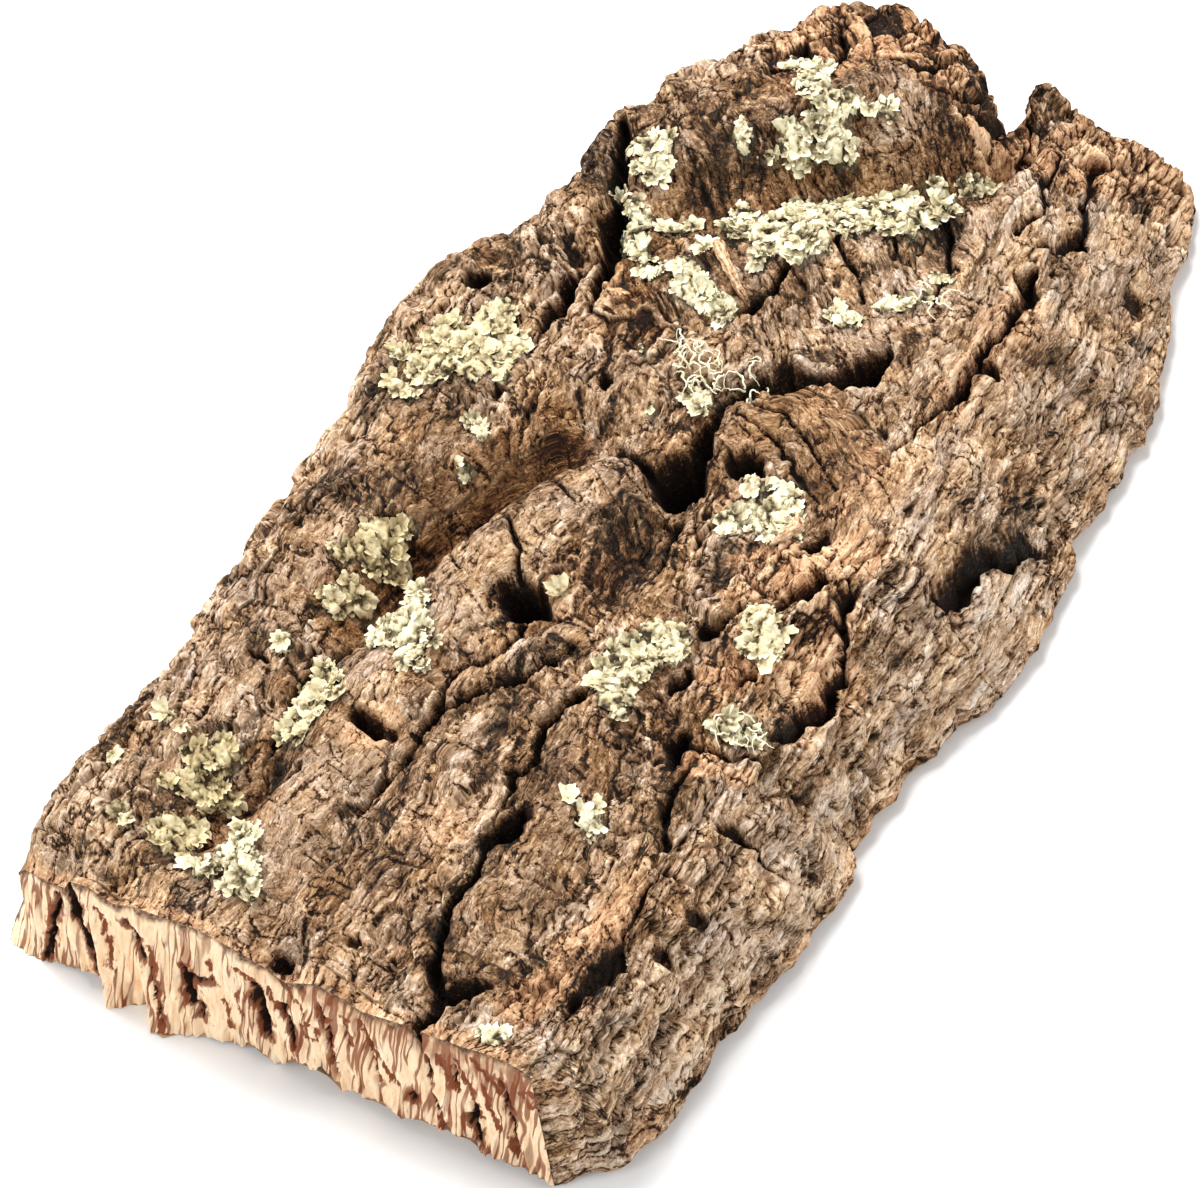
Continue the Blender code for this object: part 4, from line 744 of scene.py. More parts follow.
def body(x, y):
    """Smooth body of the slab: its thickness, rounded sides and low back corner."""
    low_x = smooth(LOW_CORNER_START[0], LOW_CORNER_END[0], x)
    low_y = smooth(LOW_CORNER_START[1], LOW_CORNER_END[1], y)
    thickness = along(THICKNESS, x) * (1 - LOW_CORNER_LOSS * low_x * low_y)
    right = np.clip((y - along(RIGHT_FOOT, x)) / along(SIDE_REACH, x), 0, 1)
    left = np.clip((along(LEFT_FOOT, x) - y) / LEFT_REACH, 0, 1)
    rounding = np.sin(math.pi / 2 * np.minimum(right, left))
    return RIM_HEIGHT + (thickness - RIM_HEIGHT) * rounding


def nearest(points, x, y, margin):
    """Where the points of x, y lie near a line: which ones, distance, side (+ is left), other columns."""
    line = np.array(points, float)
    low, high = line[:, :2].min(axis=0) - margin, line[:, :2].max(axis=0) + margin
    inside = (x > low[0]) & (x < high[0]) & (y > low[1]) & (y < high[1])
    px, py = x[inside], y[inside]
    distance = np.full(px.shape, np.inf)
    side = np.zeros(px.shape)
    columns = np.zeros((line.shape[1] - 2,) + px.shape)
    for start, end in zip(line[:-1], line[1:]):
        step = end[:2] - start[:2]
        share = np.clip(((px - start[0]) * step[0] + (py - start[1]) * step[1]) / (step @ step), 0, 1)
        dx, dy = px - start[0] - share * step[0], py - start[1] - share * step[1]
        gap = np.hypot(dx, dy)
        closer = gap < distance
        distance = np.where(closer, gap, distance)
        side = np.where(closer, np.sign(step[0] * dy - step[1] * dx), side)
        for column, a, b in zip(columns, start[2:], end[2:]):
            column[:] = np.where(closer, a + share * (b - a), column)
    return inside, distance, side, columns


def folded(x, y):
    """Height added by the ridges and taken by the gullies."""
    z = np.zeros(x.shape)
    for points, left, right in FOLDS.values():
        inside, distance, side, (height,) = nearest(points, x, y, 2.5 * max(left, right))
        z[inside] += height * np.exp(-((distance / np.where(side > 0, left, right)) ** 2))
    return z


def shaken(x, y, layers):
    """Positions moved about by noise; layers are (lump size, reach, seed)."""
    dx, dy = np.zeros(x.shape), np.zeros(x.shape)
    for size, reach, seed in layers:
        dx += reach * gradient_noise(x, y, size, seed)
        dy += reach * gradient_noise(x, y, size, seed + 1)
    return x + dx, y + dy


def fissured(x, y):
    """Depth cut away by the fissures and holes, with ragged sides; and distance from their edges."""
    waver = summed(x, y, FISSURE_WAVER)
    x, y = shaken(x, y, FISSURE_SHAKE)
    cut = np.zeros(x.shape)
    gap = np.full(x.shape, NO_CRACK)
    for points in FISSURES.values():
        inside, distance, _, (half_width, depth) = nearest(points, x, y, 9)
        reach = FISSURE_REACH * half_width * (1 + 0.5 * waver[inside])
        shape = np.exp(-((distance / np.maximum(reach, 0.3)) ** FISSURE_STEEPNESS))
        cut[inside] = np.maximum(cut[inside], np.minimum(depth, 1.5 + 4 * half_width) * shape)
        gap[inside] = np.minimum(gap[inside], np.maximum(distance - 0.5 * reach, 0))
    for hole_x, hole_y, radius_x, radius_y, depth in HOLES:
        share = np.hypot((x - hole_x) / radius_x, (y - hole_y) / radius_y) / (1 + 0.3 * waver)
        cut = np.maximum(cut, depth * np.exp(-(share**4)))
    return cut, gap


def rim_distance(x, y):
    """Plan distance to the nearer long edge."""
    return np.minimum(y - along(RIGHT_FOOT, x), along(LEFT_FOOT, x) - y)


def unrolled(x, y):
    """y measured over the surface instead of in plan, so that the steep sides aren't stretched."""
    outward = np.where(along(LEFT_FOOT, x) - y < y - along(RIGHT_FOOT, x), 1, -1)
    return y + outward * (along(THICKNESS, x) - body(x, y))


def with_length(points):
    """The points of a line with their distance along it as a last column."""
    line = np.array(points, float)
    run = np.concatenate([[0], np.cumsum(np.hypot(*np.diff(line[:, :2], axis=0).T))])
    return np.column_stack([line[:, :2], run])


def grain_coordinates(x, y, over):
    """Position along and across the grain; over is y measured over the surface."""
    wander = GRAIN_TURN_WAVER * gradient_noise(x, y, WANDER_SIZE, 51)
    turned = (x + wander > GRAIN_TURN_X) & (y > GRAIN_TURN_Y)
    cosine, sine = math.cos(GRAIN_TURN), math.sin(GRAIN_TURN)
    lengthwise = np.where(turned, cosine * x + sine * over, x)
    across = np.where(turned, cosine * over - sine * x, over)
    waver = 1 + 0.3 * gradient_noise(x, y, LUMP_SIZE, 53)
    for number, (name, reach) in enumerate(GRAIN_LINES.items()):
        inside, distance, side, (run,) = nearest(with_length(FOLDS[name][0]), x, y, 1.4 * reach)
        close = (distance < reach * waver[inside]) & (run > 0) & (run < run.max())
        lengthwise[inside] = np.where(close, run + LINE_APART * number, lengthwise[inside])
        across[inside] = np.where(close, side * distance, across[inside])
    return lengthwise, across


def painted(zones, x, y):
    """Strongest of some zones at each point: (line, reach, strength) each."""
    value = np.zeros(x.shape)
    for points, reach, strength in zones:
        inside, distance, _, _ = nearest(points, x, y, 2 * reach)
        value[inside] = np.maximum(value[inside], strength * smooth(1.25 * reach, 0.75 * reach, distance))
    return value


def terraced(value, step):
    """Value in flat steps with short slopes between them."""
    level = np.floor(value / step)
    return step * (level + smooth(1 - STEP_SHARPNESS, 1, value / step - level))


def crack_gap(away, present, share):
    """Distance from a crack, growing where the crack isn't present."""
    return away + NO_CRACK * smooth(0.05, -0.2, present + 1.3 * (share - 0.5))


def flaky(lengthwise, across, soft):
    """Fine relief of bark in grain coordinates, where soft bark is smoother; and distance from its cracks."""
    fine = np.zeros(soft.shape)
    for length, width, on_rough, on_soft, seed in SWELLS:
        height = on_rough + (on_soft - on_rough) * soft
        fine += height * gradient_noise(lengthwise / length, across / width, 1.0, seed)
    layered = np.zeros(soft.shape)
    for seed, (length, width, height) in enumerate(FLAKED_NOISES, 310):
        layered += height * gradient_noise(lengthwise / length, across / width, 1.0, seed)
    fine += (1 - 0.6 * soft) * terraced(layered, FLAKED_STEP)
    gap = np.full(soft.shape, NO_CRACK)
    for length, width, on_rough, on_soft, seed in CRACK_SETS:
        away = np.abs(gradient_noise(lengthwise / length, across / width, 1.0, seed))
        away = away * min(length, width) / 1.6
        present = gradient_noise(lengthwise / (1.3 * length), across / (1.3 * width), 1.0, seed + 1)
        gap = np.minimum(gap, crack_gap(away, present, on_rough + (on_soft - on_rough) * soft))
    for size, slimness, on_rough, on_soft, relief, seed in CELL_SETS:
        edge, level, tilt = flakes(lengthwise / slimness, across, size, seed)
        present = gradient_noise(lengthwise / slimness, across, 1.7 * size, seed + 1)
        gap = np.minimum(gap, crack_gap(0.5 * size * edge, present, on_rough + (on_soft - on_rough) * soft))
        fine += relief * (1 - 0.85 * soft) * (0.7 * level + 1.1 * tilt)
    fine -= CRACK_DEPTH * cracks(gap, CRACK_WIDTH)
    return fine + GRIT_RELIEF * gradient_noise(lengthwise, across, GRIT_SIZE, 65), gap


def pitted(lengthwise, across, soft):
    """Depth of the small pits of rough bark."""
    value = gradient_noise(lengthwise / 1.4, across, PIT_SIZE, 351)
    value = value + 0.3 * gradient_noise(lengthwise, across, 1.6, 352)
    present = smooth(-0.1, 0.3, gradient_noise(lengthwise, across, 21.0, 353) + 0.2 - 0.6 * soft)
    return PIT_DEPTH * present * smooth(0.52, 0.95, value)


def coarse_relief(x, over):
    """Plates and lumps of the solids, square to the body."""
    wander_x = x + WANDER * gradient_noise(x, over, WANDER_SIZE, 3)
    wander_y = over + WANDER * gradient_noise(x, over, WANDER_SIZE, 4)
    edge, level, _ = flakes(wander_x, PLATE_SLIMNESS * wander_y, PLATE_SIZE, 5)
    return PLATE_RELIEF * (level - 1.2 * cracks(edge)) + LUMP_RELIEF * gradient_noise(x, over, LUMP_SIZE, 6)


def bark_values(lengthwise, across, height, fine, gap, **others):
    """Values that colour the bark, from its relief, with painted shade in its hollows; others are zero unless
    given.
    """
    values = {key: np.zeros(fine.shape) for key in BARK_KEYS}
    values.update(others)
    # Raised bumps lighter and small hollows darker: partly the bark's worn tops, partly painted shade
    light = 0.5 + 0.07 * spread(fine - blurred(fine, 1)) + 0.08 * spread(fine - blurred(fine, 4))
    light += summed(lengthwise, across, LIGHT_NOISES)
    # deep darkens fissures, holes and pits by their depth: painted shade
    pale, dark, deep = (values.pop(key) for key in ("pale", "dark", "deep"))
    # dark lowers the light: painted shadow in the gullies beside the first tongue, and darker bark elsewhere
    light += 0.08 * pale - 0.08 * values["brown"] - 0.16 * dark - 0.55 * deep
    warm = 0.5 + 0.7 * gradient_noise(lengthwise / 1.6, across, 9.0, 72)
    warm += 0.35 * gradient_noise(lengthwise, across, 3.0, 73)
    values["light"] = np.clip(light, 0, 1)
    values["warm"] = np.clip(warm, 0, 1)
    values["gap"] = gap
    values["grain"] = np.dstack([lengthwise, across, height])
    return values


def side_points(points, shares):
    """Points of a ragged side of the outline, at shares of its length."""
    line_x, line_y, run = with_length(points).T
    places = shares * run[-1]
    side = np.stack([np.interp(places, run, line_x), np.interp(places, run, line_y)], axis=-1)
    ends = smooth(0, 8, np.minimum(places, run[-1] - places))
    along_side = np.gradient(side, axis=0)
    across = np.stack([along_side[:, 1], -along_side[:, 0]], axis=-1) / np.hypot(*along_side.T)[:, None]
    return side + (OUTLINE_WANDER * ends * summed(*side.T, OUTLINE_NOISES))[:, None] * across


def rows_apart(rows):
    """Shares of the width where the rows run: closer together down the steep sides."""
    t = np.linspace(0, 1, rows)
    return t - SIDE_CROWDING * np.sin(2 * math.pi * t)


def footprint(front_x):
    """Grid of plan points that fills the outline; front_x gives the sawn end's x for each y."""
    lengthways, sideways = np.linspace(0, 1, COLUMNS), rows_apart(ROWS)
    right, left = side_points(RIGHT_FOOT, lengthways), side_points(LEFT_FOOT, lengthways)
    stretch = (1 - lengthways) ** 3
    right[:, 0] += stretch * (front_x(right[0, 1]) - right[0, 0])
    left[:, 0] += stretch * (front_x(left[0, 1]) - left[0, 0])
    front_y = right[0, 1] + sideways * (left[0, 1] - right[0, 1])
    front = np.stack([front_x(front_y), front_y], axis=-1)
    back = side_points(BACK_EDGE, sideways)
    u = lengthways[:, None, None]
    v = sideways[None, :, None]
    lengthwise = (1 - v) * right[:, None] + v * left[:, None]
    crosswise = (1 - u) * front[None] + u * back[None]
    corners = (1 - u) * ((1 - v) * front[0] + v * front[-1]) + u * ((1 - v) * back[0] + v * back[-1])
    return lengthwise + crosswise - corners


def sawn_top_x(y):
    return np.full(np.shape(y), SAWN_TOP_X)


def sawn_foot_x(y):
    ragged = 1.0 + summed(y, 0 * y, SAWN_EDGE_NOISES)
    return SAWN_FOOT_X + 0.8 * np.minimum(along(SAWN_FOOT, y), 0) + ragged


def blurred(values, radius):
    """Values averaged over a square of the grid."""
    for axis in (0, 1):
        widths = [(0, 0), (0, 0)]
        widths[axis] = (radius + 1, radius)
        total = np.cumsum(np.pad(values, widths, mode="edge"), axis=axis)
        total = np.moveaxis(total, axis, 0)
        mean = (total[2 * radius + 1:] - total[:-2 * radius - 1]) / (2 * radius + 1)
        values = np.moveaxis(mean, 0, axis)
    return values


def spread(values):
    """Values as multiples of their standard deviation, kept within two."""
    return np.clip((values - values.mean()) / values.std(), -2, 2)


def polygon_inside(corners, x, y):
    """Which points lie inside a closed outline."""
    inside = np.zeros(np.shape(x), bool)
    for (ax, ay), (bx, by) in zip(corners, corners[1:] + corners[:1]):
        if ay != by:
            inside ^= ((ay > y) != (by > y)) & (x < ax + (y - ay) * (bx - ax) / (by - ay))
    return inside


def lichen_shade_tint(x, y):
    """1 under the lichen patches, where the bark gets a dull green painted shade, 0 away from them."""
    x, y = shaken(x, y, FISSURE_SHAKE)
    under = np.zeros(x.shape, bool)
    for outlines in LICHENS.values():
        for outline in outlines:
            under |= polygon_inside(outline, x, y)
    return under.astype(float)


def softness(x, y):
    """How smooth the bark is: 0 where it is crumbly, 1 where it is smooth."""
    base = BASE_SOFTNESS + summed(x, y, SOFTNESS_NOISES)
    base = np.clip(base - painted(ROUGH_BARK, x, y), 0, 0.75)
    return np.maximum(base, painted(SMOOTH_BARK, x, y))


def crusted(x, y, soft):
    """Where dark crumbs cover the bark."""
    return smooth(0.12, 0.42, summed(x, y, CRUMB_NOISES) - 0.35 * soft)


def outer_face():
    """Points of the outer face of the bark, and the values that colour it."""
    x, y = np.moveaxis(footprint(sawn_top_x), -1, 0)
    z = body(x, y)
    rise_x, rise_y = body(x + SLOPE_STEP, y) - z, body(x, y + SLOPE_STEP) - z
    normal = np.dstack([-rise_x, -rise_y, np.full(z.shape, SLOPE_STEP)])
    normal /= np.linalg.norm(normal, axis=2)[..., None]
    edge = rim_distance(x, y)
    over = unrolled(x, y)
    zone = shaken(x, y, ZONE_SHAKE)
    soft = softness(*zone)
    lengthwise, across = shaken(*grain_coordinates(x, y, over), GRAIN_SHAKE)
    fine, gap = flaky(lengthwise, across, soft)
    chunky = painted(CHUNKY_BARK, *zone)
    chunk_edge, level, tilt = flakes(lengthwise / 1.3, across, CHUNK_SIZE, 361)
    fine += chunky * (0.9 * level + 1.6 * tilt - 0.8 * cracks(chunk_edge, 0.12))
    gap = np.minimum(gap, 0.5 * CHUNK_SIZE * chunk_edge + NO_CRACK * (1 - chunky))
    cut, fissure_gap = fissured(x, y)
    cut = smooth(0, 12, edge) * cut
    pits = smooth(1, 5, edge) * pitted(lengthwise, across, soft)
    sawn = smooth(*SAWN_BLEND, x)
    fade = smooth(0, 3, edge) * smooth(SAWN_TOP_X, SAWN_TOP_X + 4, x) * smooth(BREAK_X, BREAK_X - 5, x)
    fine_fade = smooth(SAWN_TOP_X, SAWN_TOP_X + 1.5, x) * smooth(-1, 1.5, edge)
    fine_fade = fine_fade * (1 - 0.7 * smooth(1, 6, cut))
    relief = fade * (1 - 0.55 * soft) * coarse_relief(x, over) + fine_fade * (fine - pits)
    z = (1 - sawn) * (z + folded(x, y)) + sawn * along(SAWN_TOP, y)
    z = np.maximum(z - cut, 0.8 * RIM_HEIGHT)
    values = bark_values(
        lengthwise, across, z, fine, np.minimum(gap, fissure_gap),
        # Painted shade: darker the deeper the fissures, holes and pits are
        deep=np.maximum(smooth(0.8, 3.5, cut), 0.8 * smooth(0.5, 1.8, pits)),
        fresh=np.clip(painted(FRESH_BARK, *zone) + 0.5 * chunky * level, 0, 1),
        pale=painted(PALE_BARK, *zone) + 2.0 * chunky * level,
        brown=painted(BROWN_BARK, *zone),
        # Painted shadow in the gullies beside the first tongue, and darker bark
        dark=painted(DARK_AND_SHADED_BARK, *zone),
        lichen=lichen_shade_tint(x, y),
        crust=crusted(*zone, soft),
    )
    return np.dstack([x, y, z]) + relief[..., None] * normal, values


# Pieces of bark


def grid_quads(columns, rows):
    """Faces of a grid of points, wound so that they look up where columns run along x and rows along y."""
    index = np.arange(columns * rows).reshape(columns, rows)
    return np.stack([index[:-1, :-1], index[1:, :-1], index[1:, 1:], index[:-1, 1:]], axis=-1).reshape(-1, 4)


def add_piece(name, points, faces, finish, values):
    """Mesh object from survey points, faces that all have one number of corners, and values at the points."""
    points = (np.asarray(points, float).reshape(-1, 3) - (*ORIGIN, 0)) * MM
    faces = np.asarray(faces, np.int32)
    mesh = bpy.data.meshes.new(name)
    mesh.vertices.add(len(points))
    mesh.vertices.foreach_set("co", points.ravel())
    mesh.loops.add(faces.size)
    mesh.loops.foreach_set("vertex_index", faces.ravel())
    mesh.polygons.add(len(faces))
    mesh.polygons.foreach_set("loop_start", np.arange(0, faces.size, faces.shape[1]))
    mesh.update(calc_edges=True)
    mesh.validate()
    mesh.shade_smooth()
    for key, value in values.items():
        vector = np.size(value) == 3 * len(points)
        made = mesh.attributes.new(key, "FLOAT_VECTOR" if vector else "FLOAT", "POINT")
        made.data.foreach_set("vector" if vector else "value", np.ravel(value).astype(np.float32))
    mesh.materials.append(finish)
    made = bpy.data.objects.new(name, mesh)
    bpy.context.scene.collection.objects.link(made)
    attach(made, "root")
    return made


def surface(name, points, finish, values, flipped=False):
    """Bark surface over a grid of points; it looks the other way if flipped."""
    faces = grid_quads(*points.shape[:2])
    return add_piece(name, points, faces[:, ::-1] if flipped else faces, finish, values)


def line_gap(lines, y, z):
    """Distance from the edges of the nearest of some lines, below zero inside them."""
    gap = np.full(y.shape, NO_CRACK)
    for points, half_width in lines:
        inside, distance, _, _ = nearest(points, y, z, 4)
        gap[inside] = np.minimum(gap[inside], distance - half_width)
    return gap


def slot_depth(y, z):
    """Depth of the slots of the sawn end."""
    cut = np.zeros(y.shape)
    for points in SLOTS:
        inside, distance, _, (half_width, depth) = nearest(points, y, z, 4)
        cut[inside] = np.maximum(cut[inside], depth * np.exp(-((distance / (0.6 * half_width)) ** 2)))
    return 0.7 * cut


def break_relief(y, z):
    """Depth of the blocks of the broken end, and distance from the gaps between them."""
    edge, level, tilt = flakes(y + WANDER * gradient_noise(y, z, BLOCK_SIZE, 14), z, BLOCK_SIZE, 13)
    ragged_y, ragged_z = shaken(y, z, GRAIN_SHAKE)
    small_edge, small_level, small_tilt = flakes(ragged_y, ragged_z, 0.45 * BLOCK_SIZE, 15)
    depth = BREAK_RELIEF * (level + 1 - cracks(edge)) + 1.2 * tilt
    depth += 0.9 * cracks(small_edge) - 0.5 * small_level - 0.9 * small_tilt
    return depth, BLOCK_SIZE * np.minimum(0.5 * edge, 0.25 * small_edge)


def wall_between(top_rim, base_rim, rows):
    """Points of a wall between two rims, and the share of the way down."""
    share = np.linspace(0, 1, rows)[:, None]
    wall = (1 - share)[..., None] * top_rim + share[..., None] * base_rim
    return wall, np.broadcast_to(share, wall.shape[:2])


def sawn_end(top_rim, base_rim, finish):
    """Sawn end: a slanted plane with slots, fine lines across the thickness and a brown crust."""
    wall, share = wall_between(top_rim, base_rim, END_ROWS)
    y, z = wall[..., 1], wall[..., 2]
    corner = smooth(0, 5, np.minimum(y - y.min(), y.max() - y))
    ragged_y, ragged_z = shaken(y, z, SAWN_SHAKE)
    cut = slot_depth(ragged_y, ragged_z)
    dark, red = line_gap(SAWN_DARK_LINES, ragged_y, ragged_z), line_gap(SAWN_RED_LINES, ragged_y, ragged_z)
    leaning_y = y + SAWN_LINE_SLANT * z + 0.8 * gradient_noise(y, 0.3 * z, 4.0, 81)
    lines = gradient_noise(leaning_y, 0.12 * z, SAWN_LINE_SIZE, 82)
    depth = cut + 1.6 * smooth(0.5, -0.4, dark) + 0.5 * smooth(0.4, -0.2, red)
    depth += SAWN_RELIEF * gradient_noise(y, 0.5 * z, SAWN_SIZE, 12) + 0.16 * lines
    depth += 0.25 * gradient_noise(leaning_y, 0.4 * z, 2.2, 83) + 0.1 * gradient_noise(y, z, 0.9, 86)
    below_rim = share * (top_rim[:, 2] - base_rim[:, 2])[None]
    crust = smooth(CRUST_DEPTH, 0.4 * CRUST_DEPTH, below_rim + 1.6 * gradient_noise(y, z, 2.6, 87))
    wall[..., 0] += corner * smooth(0, 0.01, share) * (depth + 0.5 * crust)
    values = {
        # In slots deeper than 0.8 mm the value turns negative, so the slot is painted near black as shade;
        # elsewhere it follows the cork's dark lines
        "dark": np.where(cut > 0.8, np.minimum(dark, 0.8 - cut), dark),
        "red": red,
        "crust": crust,
        "band": smooth(27, 32, z) * smooth(-58, -50, y) * smooth(16, 8, y),
        "busy": smooth(22, 4, y) + 0.6 * smooth(38, 46, y),
        "grain": np.dstack([leaning_y, z, wall[..., 0]]),
    }
    return surface("sawn_face", wall, finish, values)


def broken_end(top_rim, base_rim, finish):
    """Broken end: angular blocks with dark gaps."""
    wall, share = wall_between(top_rim, base_rim, END_ROWS)
    y, z = wall[..., 1], wall[..., 2]
    fine, gap = flaky(*shaken(y, z, GRAIN_SHAKE), np.zeros(y.shape))
    depth, block_gap = break_relief(y, z)
    fine = 0.6 * fine - depth
    wall[..., 0] += np.sin(math.pi * share) ** 0.5 * fine
    fresh = np.clip(0.75 + 0.5 * gradient_noise(y, z, 8.0, 74), 0, 1)
    values = bark_values(y, z, np.zeros(y.shape), fine, np.minimum(gap, block_gap), fresh=fresh)
    return surface("broken_face", wall, finish, values, flipped=True)


def side_wall(name, top_rim, base_rim, rows, outward, finish):
    """Rough wall under the rim of a long side."""
    wall, share = wall_between(top_rim, base_rim, rows)
    x, z = wall[..., 0], wall[..., 2]
    fine, gap = flaky(*shaken(x, z, GRAIN_SHAKE), np.zeros(x.shape))
    tall = smooth(4, 20, wall[0, :, 2] - wall[-1, :, 2])
    coarse = summed(x, z, WALL_NOISES)
    wall[..., 1] += outward * np.sin(math.pi * share) * (fine + tall * coarse)
    fresh = 0.7 * smooth(0.1, 0.5, gradient_noise(x, z, 9.0, 75))
    values = bark_values(x, z, wall[..., 1], fine + coarse, gap, fresh=fresh)
    return surface(name, wall, finish, values, flipped=outward < 0)


def base_points(plan):
    """Points of the underside: flat in the middle, lifting at its ragged border, with pores and ribs."""
    x, y = plan[..., 0], plan[..., 1]
    u = np.linspace(0, 1, COLUMNS)[:, None]
    v = rows_apart(ROWS)[None, :]
    from_ends = np.minimum(u, 1 - u) * (BREAK_X - SAWN_TOP_X)
    from_sides = np.minimum(v, 1 - v) * (y.max() - y.min())
    border = np.minimum(from_ends, from_sides)
    teeth = 1 + 0.5 * gradient_noise(x, y, TOOTH_SIZE, 8)
    sawn = smooth(SAWN_FOOT_X + 10, SAWN_FOOT_X, x)
    foot = along(SAWN_FOOT, y) + summed(x, y, SAWN_FOOT_NOISES)
    lift = UNDERSIDE_RISE * (teeth - sawn) + sawn * np.maximum(foot, 0)
    inner = smooth(0, 4, border)
    edge, level, _ = flakes(x / 2.2, y, 4.2, 93)
    pore = (level > 0.55) * smooth(0.5, 0.75, edge)
    ribs = 0.25 * (1 + gradient_noise(x / 5, y, 3.2, 94))
    z = lift * (1 - smooth(0, UNDERSIDE_BORDER, border)) + inner * (ribs + 1.1 * pore)
    return np.dstack([x, y, np.maximum(z, 0)]), inner * pore


def bark_pieces(finishes):
    """The slab's visible surfaces; returns them with the outer face's points."""
    top, values = outer_face()
    base, pore = base_points(footprint(sawn_foot_x))
    pieces = []
    cuts = np.linspace(0, COLUMNS - 1, STRIPS + 1).astype(int)
    for number, (start, end) in enumerate(zip(cuts[:-1], cuts[1:]), 1):
        part = slice(start, end + 1)
        colours = {key: value[part] for key, value in values.items()}
        pieces.append(surface(f"outer_bark_{number}", top[part], finishes["bark"], colours))
    pieces.append(sawn_end(top[0], base[0], finishes["sawn"]))
    pieces.append(broken_end(top[-1], base[-1], finishes["bark"]))
    front, rest = slice(0, CORNER_COLUMNS + 1), slice(CORNER_COLUMNS, None)
    for side, row, outward in (("right", 0, -1), ("left", -1, 1)):
        for where, part, rows in (("corner", front, END_ROWS), ("foot", rest, FOOT_ROWS)):
            rims = top[part, row], base[part, row]
            pieces.append(side_wall(f"{side}_{where}", *rims, rows, outward, finishes["bark"]))
    under = slice(None, None, UNDERSIDE_SKIP)
    pores = {"pore": pore[under, under]}
    pieces.append(surface("inner_face", base[under, under], finishes["inner"], pores, flipped=True))
    return pieces, top


# Lichen and loose bars, which lie on the bark


def height_map(points):
    """Smoothed height of the outer face on a plain grid: the grid's corner and its heights."""
    plan = points[..., :2].reshape(-1, 2)
    corner = plan.min(axis=0)
    cell = ((plan - corner) / HEIGHT_STEP).astype(int)
    heights = np.zeros(cell.max(axis=0) + 1)
    np.maximum.at(heights, tuple(cell.T), points[..., 2].ravel())
    highest = np.max([np.roll(heights, shift, (0, 1)) for shift in AROUND], axis=0)
    return corner, blurred(blurred(highest, 1), 1)


def height_at(ground, x, y):
    """Height and upward normal of the smoothed outer face at plan points."""
    corner, heights = ground
    slope_x, slope_y = np.gradient(heights, HEIGHT_STEP)
    i = np.clip(np.round((x - corner[0]) / HEIGHT_STEP).astype(int), 0, heights.shape[0] - 1)
    j = np.clip(np.round((y - corner[1]) / HEIGHT_STEP).astype(int), 0, heights.shape[1] - 1)
    normal = np.stack([-slope_x[i, j], -slope_y[i, j], np.ones(np.shape(x))], axis=-1)
    return heights[i, j], normal / np.linalg.norm(normal, axis=-1, keepdims=True)


def growth_centres(outline, spacing, rng):
    """Shaken points inside an outline, and the way outward from its middle at each."""
    corners = np.array(outline, float)
    low, high = corners.min(axis=0), corners.max(axis=0)
    grid = np.mgrid[low[0]:high[0]:spacing, low[1]:high[1]:spacing].reshape(2, -1).T
    grid = grid + rng.uniform(-0.5, 0.5, grid.shape) * spacing
    grid = grid[polygon_inside(outline, grid[:, 0], grid[:, 1])]
    rim = np.vstack([corners, (corners + np.roll(corners, -1, axis=0)) / 2])
    spans = rim[None] - grid[:, None]
    near = np.argmin(np.hypot(spans[..., 0], spans[..., 1]), axis=1)
    outward = spans[np.arange(len(grid)), near]
    return grid, np.arctan2(outward[:, 1], outward[:, 0])


def lobe(height, normal, place, heading, rng):
    """One leafy lobe: a folded fan with a deeply scalloped rim. Returns its points and tone."""
    length = rng.uniform(*LOBE_LENGTH) * rng.choice((0.7, 1.0))
    angle = np.linspace(-LOBE_SWEEP, LOBE_SWEEP, LOBE_SPOKES)[None, :]
    ring = np.linspace(0.08, 1, LOBE_RINGS)[:, None]
    count, phase = rng.uniform(2.0, 4.6), rng.uniform(0, math.pi)
    lobules = np.abs(np.cos(count * angle + phase + 0.4 * np.sin(3 * angle))) ** 0.6
    reach = length * np.cos(0.6 * angle) ** 0.5 * (1 - rng.uniform(0.25, 0.5) * ring**2 * (1 - lobules))
    reach = reach * (1 + LOBE_JAGS * ring**2 * rng.uniform(-1, 1, LOBE_SPOKES))
    lift = rng.uniform(0.0, 0.38) * ring**1.6 + 0.15 * ring * (lobules - 0.6)
    lift = lift + rng.uniform(-0.3, 0.3) * smooth(0.5, 1.0, ring) * ring
    forward = ring * reach * np.cos(angle)
    sideways = ring * reach * np.sin(angle) * rng.uniform(0.7, 1.1)
    normal = normal + (0, 0, 0.4)
    normal = normal / np.linalg.norm(normal)
    front = np.array([math.cos(heading), math.sin(heading), 0.0])
    front -= normal * (front @ normal)
    front /= np.linalg.norm(front)
    side = np.cross(normal, front)
    start = np.array([*place, height]) + rng.uniform(0.0, 0.9) * normal - 0.35 * length * front
    points = start + forward[..., None] * front + sideways[..., None] * side
    crumple = LOBE_CRUMPLE * ring * gradient_noise(points[..., 0], points[..., 1], 1.2, 98)
    points = points + (length * lift + crumple)[..., None] * normal
    # Tone: lighter toward the rim, darker at the root and in the notches between lobules as painted shade,
    # with a random shift per lobe
    tone = 0.05 + 0.6 * ring - 0.35 * ring * (1 - lobules) + rng.uniform(-0.2, 0.2)
    return points.reshape(-1, 3), tone.ravel(), grid_quads(LOBE_RINGS, LOBE_SPOKES)


